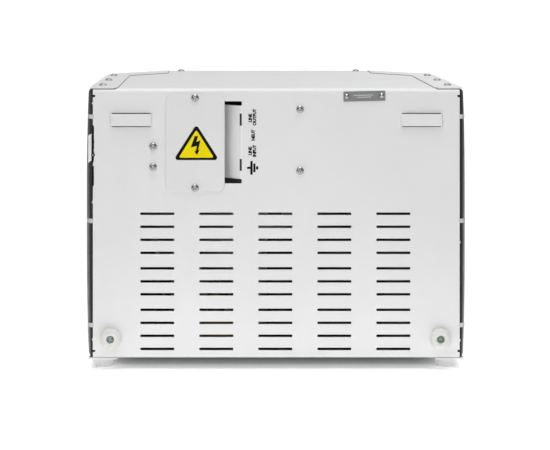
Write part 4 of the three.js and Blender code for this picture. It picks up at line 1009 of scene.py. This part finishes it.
icons = {
    "mode_button": [[(-3.2, 2.2), (3.2, 2.2), (3.2, 1.1), (-3.2, 1.1)], [(-3.2, 0.55), (3.2, 0.55), (3.2, -0.55), (-3.2, -0.55)], [(-3.2, -1.1), (3.2, -1.1), (3.2, -2.2), (-3.2, -2.2)]],
    "start_button": [[(-2.0, -3.0), (-2.0, 3.0), (3.2, 0)]],
    "stop_button": [[(-2.4, -2.4), (-2.4, 2.4), (2.4, 2.4), (2.4, -2.4)]],
}
for name, x, body, mkey, slot_name in (("mode_button", 52, "mode", "grey", "grey_button"), ("start_button", 80, "start", "green", "green_button"), ("stop_button", 108, "stop", "red", "red_button")):
    g = Geo()
    at = place((x, Y(FRONT_D), STRIP_Z), (0, -1, 0))
    g.lathe([(0, 4.7), (3.5, 4.72), (6.2, 4.9), (7.2, 4.85), (7.8, 4.3), (8.05, 3.3), (8.1, -3.6), (7.6, -4), (0, -4)], 48, 0, at)
    for poly in icons[name]:
        g.sheet(poly, front(FRONT_D + 4.95, x, STRIP_Z), 0.5, b=0.06, seg=1, mat=1)
    g.done(name + "_cap", [mkey, "print_light"], body=body, slot=slot_name, replaces=[name])

# pressure gauge
at = place((GAUGE_X, Y(FRONT_D), STRIP_Z), (0, -1, 0))
g = Geo()
g.lathe([(0, -18), (22, -18), (22.2, -17.6), (22.2, 1.6), (23.4, 2.2), (23.8, 3.0), (23.6, 5.4), (22.8, 6.5), (21.6, 7.0), (20.4, 6.6), (19.6, 5.6),
         (19.3, 4.4), (19.2, 1.5), (0, 1.5)], 72, 0, at)
g.done("gauge_case_trim", ["chrome"], slot="zinc_steel", replaces=["gauge_case"])
g = Geo()
g.lathe([(0, 1.7), (19.0, 1.7), (19.0, 1.3), (0, 1.3)], 64, 0, at)
fd = front(FRONT_D + 1.78, GAUGE_X, STRIP_Z)
for i in range(41):
    a = math.radians(225 - 270 * i / 40)
    big = i % 5 == 0
    r0, r1, w = (14.2, 17.6, 0.7) if big else (15.9, 17.6, 0.32)
    c, s_ = math.cos(a), math.sin(a)
    quad = [(r0 * c - w / 2 * s_, r0 * s_ + w / 2 * c), (r1 * c - w / 2 * s_, r1 * s_ + w / 2 * c), (r1 * c + w / 2 * s_, r1 * s_ - w / 2 * c), (r0 * c + w / 2 * s_, r0 * s_ - w / 2 * c)]
    g.sheet(quad, fd, 0.08, b=0.02, seg=1, mat=2 if i > 30 else 1)
for i, ch in enumerate("01234"):
    a = math.radians(225 - 270 * i / 4)
    g.mesh(lettering(ch, 5.0), 1, place((GAUGE_X + 10.6 * math.cos(a), Y(FRONT_D + 1.8), STRIP_Z + 10.6 * math.sin(a)), (0, -1, 0)))
g.done("gauge_dial", ["dial", "ink", "needle"], slot="zinc_steel")
g = Geo()
th = math.radians(-135)
nd = (math.sin(th), math.cos(th))
fn = plane((GAUGE_X, Y(FRONT_D + 3.3), STRIP_Z), (nd[1], 0, -nd[0]), (nd[0], 0, nd[1]), (0, -1, 0))
g.sheet([(-1.3, -5.2), (1.3, -5.2), (0.9, 0), (0.28, 16), (-0.28, 16), (-0.9, 0)], fn, 0.5, b=0.12, seg=1, mat=0)
g.lathe([(0, 4.0), (1.6, 3.9), (2.2, 3.3), (2.2, 1.9), (0, 1.9)], 32, 1, at)
g.done("gauge_needle_pointer", ["black", "chrome"], body="needle", slot="black_plastic", replaces=["gauge_needle"])
g = Geo()
g.lathe([(0, 5.1), (10, 5.0), (19.3, 4.6), (19.3, 4.2), (10, 4.6), (0, 4.7)], 64, 0, at)
g.done("gauge_glass", ["glass"], slot="window")

# ------------------------------------------------------------------ power rocker and drain valve on the angled corners
T = 0.9704


def corner_frame(s, z):
    out = (s * math.sin(T), -math.cos(T), 0)
    return place((s * 182, Y(483.4), z), out)


rk = corner_frame(1, 58)
g = Geo()
fmr = plane((0, 0, 1.3), (1, 0, 0), (0, 1, 0), (0, 0, 1))
g.sheet(rrect(0, 0, 24, 31.4, 2.4, 5), fmr, 1.2, [rrect(0, 0, 19.4, 26.4, 1.2, 4)], b=0.45, seg=3, matrix=rk)
g.done("power_rocker_frame", ["black"], slot="black_plastic")
g = Geo()
prof = rounded([(-12.4, 4.5), (-10.4, 5.0), (0, 1.5), (10.6, 0.7), (12.4, 0.2), (11, -4), (6, -6.5), (-6, -6.5), (-12, -2)], [0.8, 1.2, 8, 1.5, 0.4, 0.5, 1, 1, 0.5], 4)
fr = plane((9.2, 0, 0), (0, -1, 0), (0, 0, 1), (1, 0, 0))
g.sheet(prof, fr, 18.4, b=0.5, seg=2, matrix=rk)
slope = Matrix.Rotation(math.radians(18.6), 4, "X")
g.sheet(rrect(0, 0, 1.0, 4.4, 0.3, 2), fmr, 0.4, b=0.05, seg=1, mat=1, matrix=rk @ Matrix.Translation((0, 6.4, 2.55)) @ slope)
ringm = rk @ Matrix.Translation((0, -6.4, -0.15)) @ Matrix.Rotation(math.radians(4.3), 4, "X")
g.sheet(circle(0, 0, 2.3, 28), fmr, 0.4, [circle(0, 0, 1.6, 28)], b=0.05, seg=1, mat=1, matrix=ringm)
g.done("power_rocker_key", ["black", "print_light"], body="rocker", slot="black_plastic", replaces=["power_rocker"])

dk = corner_frame(-1, 52)
g = Geo()
g.lathe([(0, 8), (3.3, 8), (3.4, 7.7), (3.4, 2.3), (11.4, 2.3), (12.3, 1.8), (12.5, 0.9), (12.5, 0.45), (9.2, 0.45), (9.2, -26), (0, -26)], 48, 0, dk)
g.done("drain_valve_body", ["brass"], slot="brass", replaces=["drain_valve"])
g = Geo()
knob = []
for i in range(144):
    a = 2 * PI * i / 144
    r = 12.9 - 1.15 * (0.5 + 0.5 * math.cos(6 * a)) ** 6
    knob.append((r * math.cos(a), r * math.sin(a)))
g.sheet(knob, plane((0, 0, 18), (1, 0, 0), (0, 1, 0), (0, 0, 1)), 15, b=1.1, seg=4, matrix=dk)
g.sheet(rrect(0, 7.6, 1.1, 5.6, 0.4, 2), plane((0, 0, 18.1), (1, 0, 0), (0, 1, 0), (0, 0, 1)), 0.3, b=0.05, seg=1, mat=1, matrix=dk)
g.done("drain_knob_grip", ["black", "print_light"], body="drain", slot="black_plastic", replaces=["drain_knob"])

# ------------------------------------------------------------------ door
da = place((0, Y(0), DOOR_Z), (0, -1, 0))  # local Z is depth
shell = Geo().lathe(
    [(14.8, 583), (15.6, 583.6), (30, 584.0), (31, 583.4), (32, 582.8), (60, 583.2), (92, 583.2), (94.2, 582.9), (95.2, 582.0), (96.4, 581.6), (97.6, 582.0),
     (99, 582.6), (105, 582.0), (112, 580.2), (118, 577.0), (122.4, 573.2), (125.4, 568.8), (126.8, 564), (127, 558), (127, 553), (126.6, 552.2), (125.6, 552),
     (124.4, 552.2), (124, 553), (124, 563), (122, 568.4), (117, 573.4), (110, 577), (95, 579.6), (60, 580), (14.8, 580), (14.8, 583)], 128, 0, da)
# room for the hinge arm: local X of this frame runs towards -X or +X, so the side is chosen by the arm's place
gap_x = (da.inverted() @ Vector((-114, 0, DOOR_Z))).x
gap = Geo().bar(gap_x - 16.7, gap_x + 16.7, -38.5, 38.5, 540, 572.4, 1.0, matrix=da)
g = Geo().mesh(carve(shell, gap), 0)
fdoor = front(583.35, 0, DOOR_Z)
# quarter-turn marks: an arc with an open and a closed ring
arc_o = [(66 * math.cos(math.radians(a)), 66 * math.sin(math.radians(a))) for a in range(-84, -5, 4)]
arc_i = [(64.6 * math.cos(math.radians(a)), 64.6 * math.sin(math.radians(a))) for a in range(-84, -5, 4)]
g.sheet(arc_o + arc_i[::-1], fdoor, 0.12, b=0.03, seg=1, mat=1)
g.sheet(circle(65.3, 0, 3.4, 28), fdoor, 0.12, [circle(65.3, 0, 2.4, 28)], b=0.03, seg=1, mat=1)
g.sheet(circle(0, -65.3, 3.4, 28), fdoor, 0.12, b=0.03, seg=1, mat=1)
g.done("door_cover_moulding", ["bezel", "grey"], body="door", slot="bezel_white", replaces=["door_cover"])

# lever handle
g = Geo()
g.lathe([(0, 600.4), (8, 600.3), (20, 599.4), (24.4, 597.6), (26, 594.6), (26, 588), (25, 586.2), (14.2, 586), (14.2, 548.2), (0, 548.2)], 64, 0, da)
lever = rounded([(-16, -13), (20, -15.2), (92, -11.4), (101, -6), (101, 6), (92, 11.4), (20, 15.2), (-16, 13)], [7, 20, 8, 5, 5, 8, 20, 7], 6)
g.sheet(lever, front(606, 0, DOOR_Z), 17.6, b=3.4, seg=5, mat=0)
g.sheet(rrect(66, 0, 44, 7.0, 3.4, 6), front(606.3, 0, DOOR_Z), 1.2, b=0.5, seg=2, mat=1)
g.lathe([(0, 606.9), (8.2, 606.8), (9.4, 606.4), (9.8, 605.8), (9.8, 604), (0, 604)], 48, 2, da)
g.done("door_handle_lever", ["black", "grey", "chrome"], body="door_lock", slot="black_plastic", replaces=["door_handle"])

# hinge arm, bracket and pin
g = Geo()
hm = Matrix.Translation((HINGE_X, Y(HINGE_D), DOOR_Z))
g.lathe([(4.35, -38), (7.6, -38), (8.4, -37.2), (8.4, 37.2), (7.6, 38), (4.35, 38), (4.35, -38)], 48, 0, hm)
arm_out = rounded([(HINGE_X + 5.5, -30), (-72, -30), (-72, 30), (HINGE_X + 5.5, 30)], [3, 1, 1, 3], 4)
g.sheet(arm_out, plane((0, Y(HINGE_D + 5), DOOR_Z), (1, 0, 0), (0, 0, 1), (0, -1, 0)), 10, b=0.9, seg=3)
g.bar(-96, -72, Y(HINGE_D + 5), Y(531.4), DOOR_Z - 27, DOOR_Z + 27, 0.8)
g.done("hinge_arm_forging", ["steel"], body="door", slot="stainless", replaces=["hinge_arm"])
g = Geo()
for z in (101, 191):
    ear = [(-150, 505.3), (-131, 505.3), (-131, HINGE_D)]
    n = 20
    for i in range(n + 1):
        a = math.radians(0 + 180 * i / n)
        ear.append((HINGE_X + 9.2 * math.cos(a), HINGE_D + 9.2 * math.sin(a)))
    g.sheet(ear, level(z + 6), 12, [circle(HINGE_X, HINGE_D, 4.4, 24)], b=0.7, seg=3)
g.bar(-150, -131, Y(511), Y(505.3), 95, 197, 0.5)
g.done("hinge_bracket_plate", ["steel"], slot="stainless", replaces=["hinge_bracket"])
g = Geo()
g.lathe([(0, 93), (3.6, 93), (4.0, 93.5), (4.0, 197.4), (6.4, 197.4), (6.6, 198), (6.4, 199.6), (5.2, 200.6), (0, 201)], 40, 0, Matrix.Translation((HINGE_X, Y(HINGE_D), 0)))
g.done("hinge_pin_turned", ["chrome"], slot="zinc_steel", replaces=["hinge_pin"])

# ------------------------------------------------------------------ CAD nodes that stay: materials and soft normals
# the water tank, the condenser (black) and the cast-brass valves are kept dark partly as painted shade, so the inside
# seen through the slots stays dark
KEEP = {
    "base_pan": "galvanised", "terminal_block": "black", "control_board": "board", "chamber_vessel": "steel_y", "keeper_ring": "steel", "insulation_jacket": "foam",
    "front_bulkhead": "steel", "tray_rack": "steel_y", "instrument_tray": "steel_y", "steam_generator": "steel", "vacuum_pump": "black", "water_tank": "tank",
    "condenser": "black", "fan_frame": "black", "fan_rotor": "black", "valve_block": "cast_brass_painted_shade", "safety_valve": "cast_brass_painted_shade", "power_supply": "steel",
    "door_plate": "steel", "door_gasket": "silicone", "lock_cam": "steel", "lock_bolt_upper": "chrome", "lock_bolt_lower_left": "chrome", "lock_bolt_lower_right": "chrome",
}
for node, key in KEEP.items():
    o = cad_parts[node]
    o.data.materials.clear()
    o.data.materials.append(M[key])
    o.data.polygons.foreach_set("material_index", [0] * len(o.data.polygons))
    o.data.polygons.foreach_set("use_smooth", [True] * len(o.data.polygons))
    w = o.modifiers.new("weld", "WELD")
    w.merge_threshold = 2e-6
    e = o.modifiers.new("edges", "EDGE_SPLIT")
    e.split_angle = math.radians(32)

# ------------------------------------------------------------------ stage
me = bpy.data.meshes.new("floor")
me.from_pydata([(-60, -60, 0), (60, -60, 0), (60, 60, 0), (-60, 60, 0)], [], [(0, 1, 2, 3)])
me.materials.append(M["floor"])
floor = bpy.data.objects.new("floor", me)
bpy.context.scene.collection.objects.link(floor)

# a white backdrop for the camera; the light itself is dimmer, and darker near the horizon so that metal shows contrast
world = bpy.data.worlds.new("studio")
bpy.context.scene.world = world
world.use_nodes = True
wt = world.node_tree
soft = wt.nodes["Background"]
soft.inputs["Strength"].default_value = 1.0
coord = wt.nodes.new("ShaderNodeTexCoord")
sep = wt.nodes.new("ShaderNodeSeparateXYZ")
wt.links.new(coord.outputs["Generated"], sep.inputs["Vector"])
ramp = wt.nodes.new("ShaderNodeValToRGB")
while len(ramp.color_ramp.elements) < 4:
    ramp.color_ramp.elements.new(0.5)
for e, (at_z, v) in zip(ramp.color_ramp.elements, ((0.0, 0.34), (0.08, 0.14), (0.5, 0.19), (1.0, 0.32))):
    e.position, e.color = at_z, (v, v, v, 1)
wt.links.new(sep.outputs["Z"], ramp.inputs["Fac"])
wt.links.new(ramp.outputs["Color"], soft.inputs["Color"])
side = wt.nodes.new("ShaderNodeMath")
side.operation = "MULTIPLY_ADD"
side.inputs[1].default_value, side.inputs[2].default_value = -0.4, 1.0
wt.links.new(sep.outputs["X"], side.inputs[0])
wt.links.new(side.outputs["Value"], soft.inputs["Strength"])
backdrop = wt.nodes.new("ShaderNodeBackground")
backdrop.inputs["Color"].default_value = (1, 1, 1, 1)
backdrop.inputs["Strength"].default_value = 1.1
path_node = wt.nodes.new("ShaderNodeLightPath")
mix = wt.nodes.new("ShaderNodeMixShader")
wt.links.new(path_node.outputs["Is Camera Ray"], mix.inputs["Fac"])
wt.links.new(soft.outputs["Background"], mix.inputs[1])
wt.links.new(backdrop.outputs["Background"], mix.inputs[2])
wt.links.new(mix.outputs["Shader"], wt.nodes["World Output"].inputs["Surface"])


def area_light(name, loc, target, size, power):
    l = bpy.data.lights.new(name, "AREA")
    l.shape, l.size, l.energy = "DISK", size, power
    o = bpy.data.objects.new(name, l)
    o.location = loc
    o.rotation_euler = (Vector(target) - Vector(loc)).to_track_quat("-Z", "Y").to_euler()
    bpy.context.scene.collection.objects.link(o)


area_light("key", (1.5, 2.5, 2.1), (0, 0.2, 0.15), 3.0, 16.5)
area_light("fill", (0.4, 3.6, 0.9), (0, 0.3, 0.18), 2.4, 15.5)
area_light("front_key", (-1.3, -2.6, 2.1), (0, -0.2, 0.15), 1.2, 30)
area_light("top", (0, 0.7, 3.2), (0, 0, 0.2), 2.2, 62)

view = bpy.context.scene.view_settings
view.view_transform, view.look, view.exposure, view.gamma = "Standard", "None", 0.0, 1.0

# camera: level, its image plane parallel to the rear cover, framed by lens shift
SHIFT = (48.0 / 550, -247.0 / 550)
CAM = (0.0601, 0.297 + 2.9, 0.4764)
cam = bpy.data.cameras.new("camera")
cam.sensor_fit, cam.sensor_width, cam.lens = "HORIZONTAL", 36.0, 2377 * 36.0 / 550
cam.clip_start, cam.clip_end = 0.05, 200
camera = bpy.data.objects.new("camera", cam)
camera.location = CAM
camera.rotation_euler = (PI / 2, 0, PI)
bpy.context.scene.collection.objects.link(camera)
bpy.context.scene.camera = camera
# the shift holds only at this camera height, so that other views are framed straight on
for prop, value in (("shift_x", SHIFT[0]), ("shift_y", SHIFT[1])):
    curve = cam.driver_add(prop)
    d = curve.driver
    d.type = "AVERAGE"
    var = d.variables.new()
    var.type = "TRANSFORMS"
    var.targets[0].id = camera
    var.targets[0].transform_type = "LOC_Z"
    var.targets[0].transform_space = "WORLD_SPACE"
    while curve.modifiers:
        curve.modifiers.remove(curve.modifiers[0])
    while len(curve.keyframe_points):
        curve.keyframe_points.remove(curve.keyframe_points[0])
    stops = ((-1.0, 0.0), (-0.004, 0.0), (-0.003, value), (0.003, value), (0.004, 0.0), (1.0, 0.0))
    curve.keyframe_points.add(len(stops))
    for k, (dz, y) in zip(curve.keyframe_points, stops):
        k.co = (CAM[2] + dz, y)
        k.interpolation = "LINEAR"
bpy.context.view_layer.update()
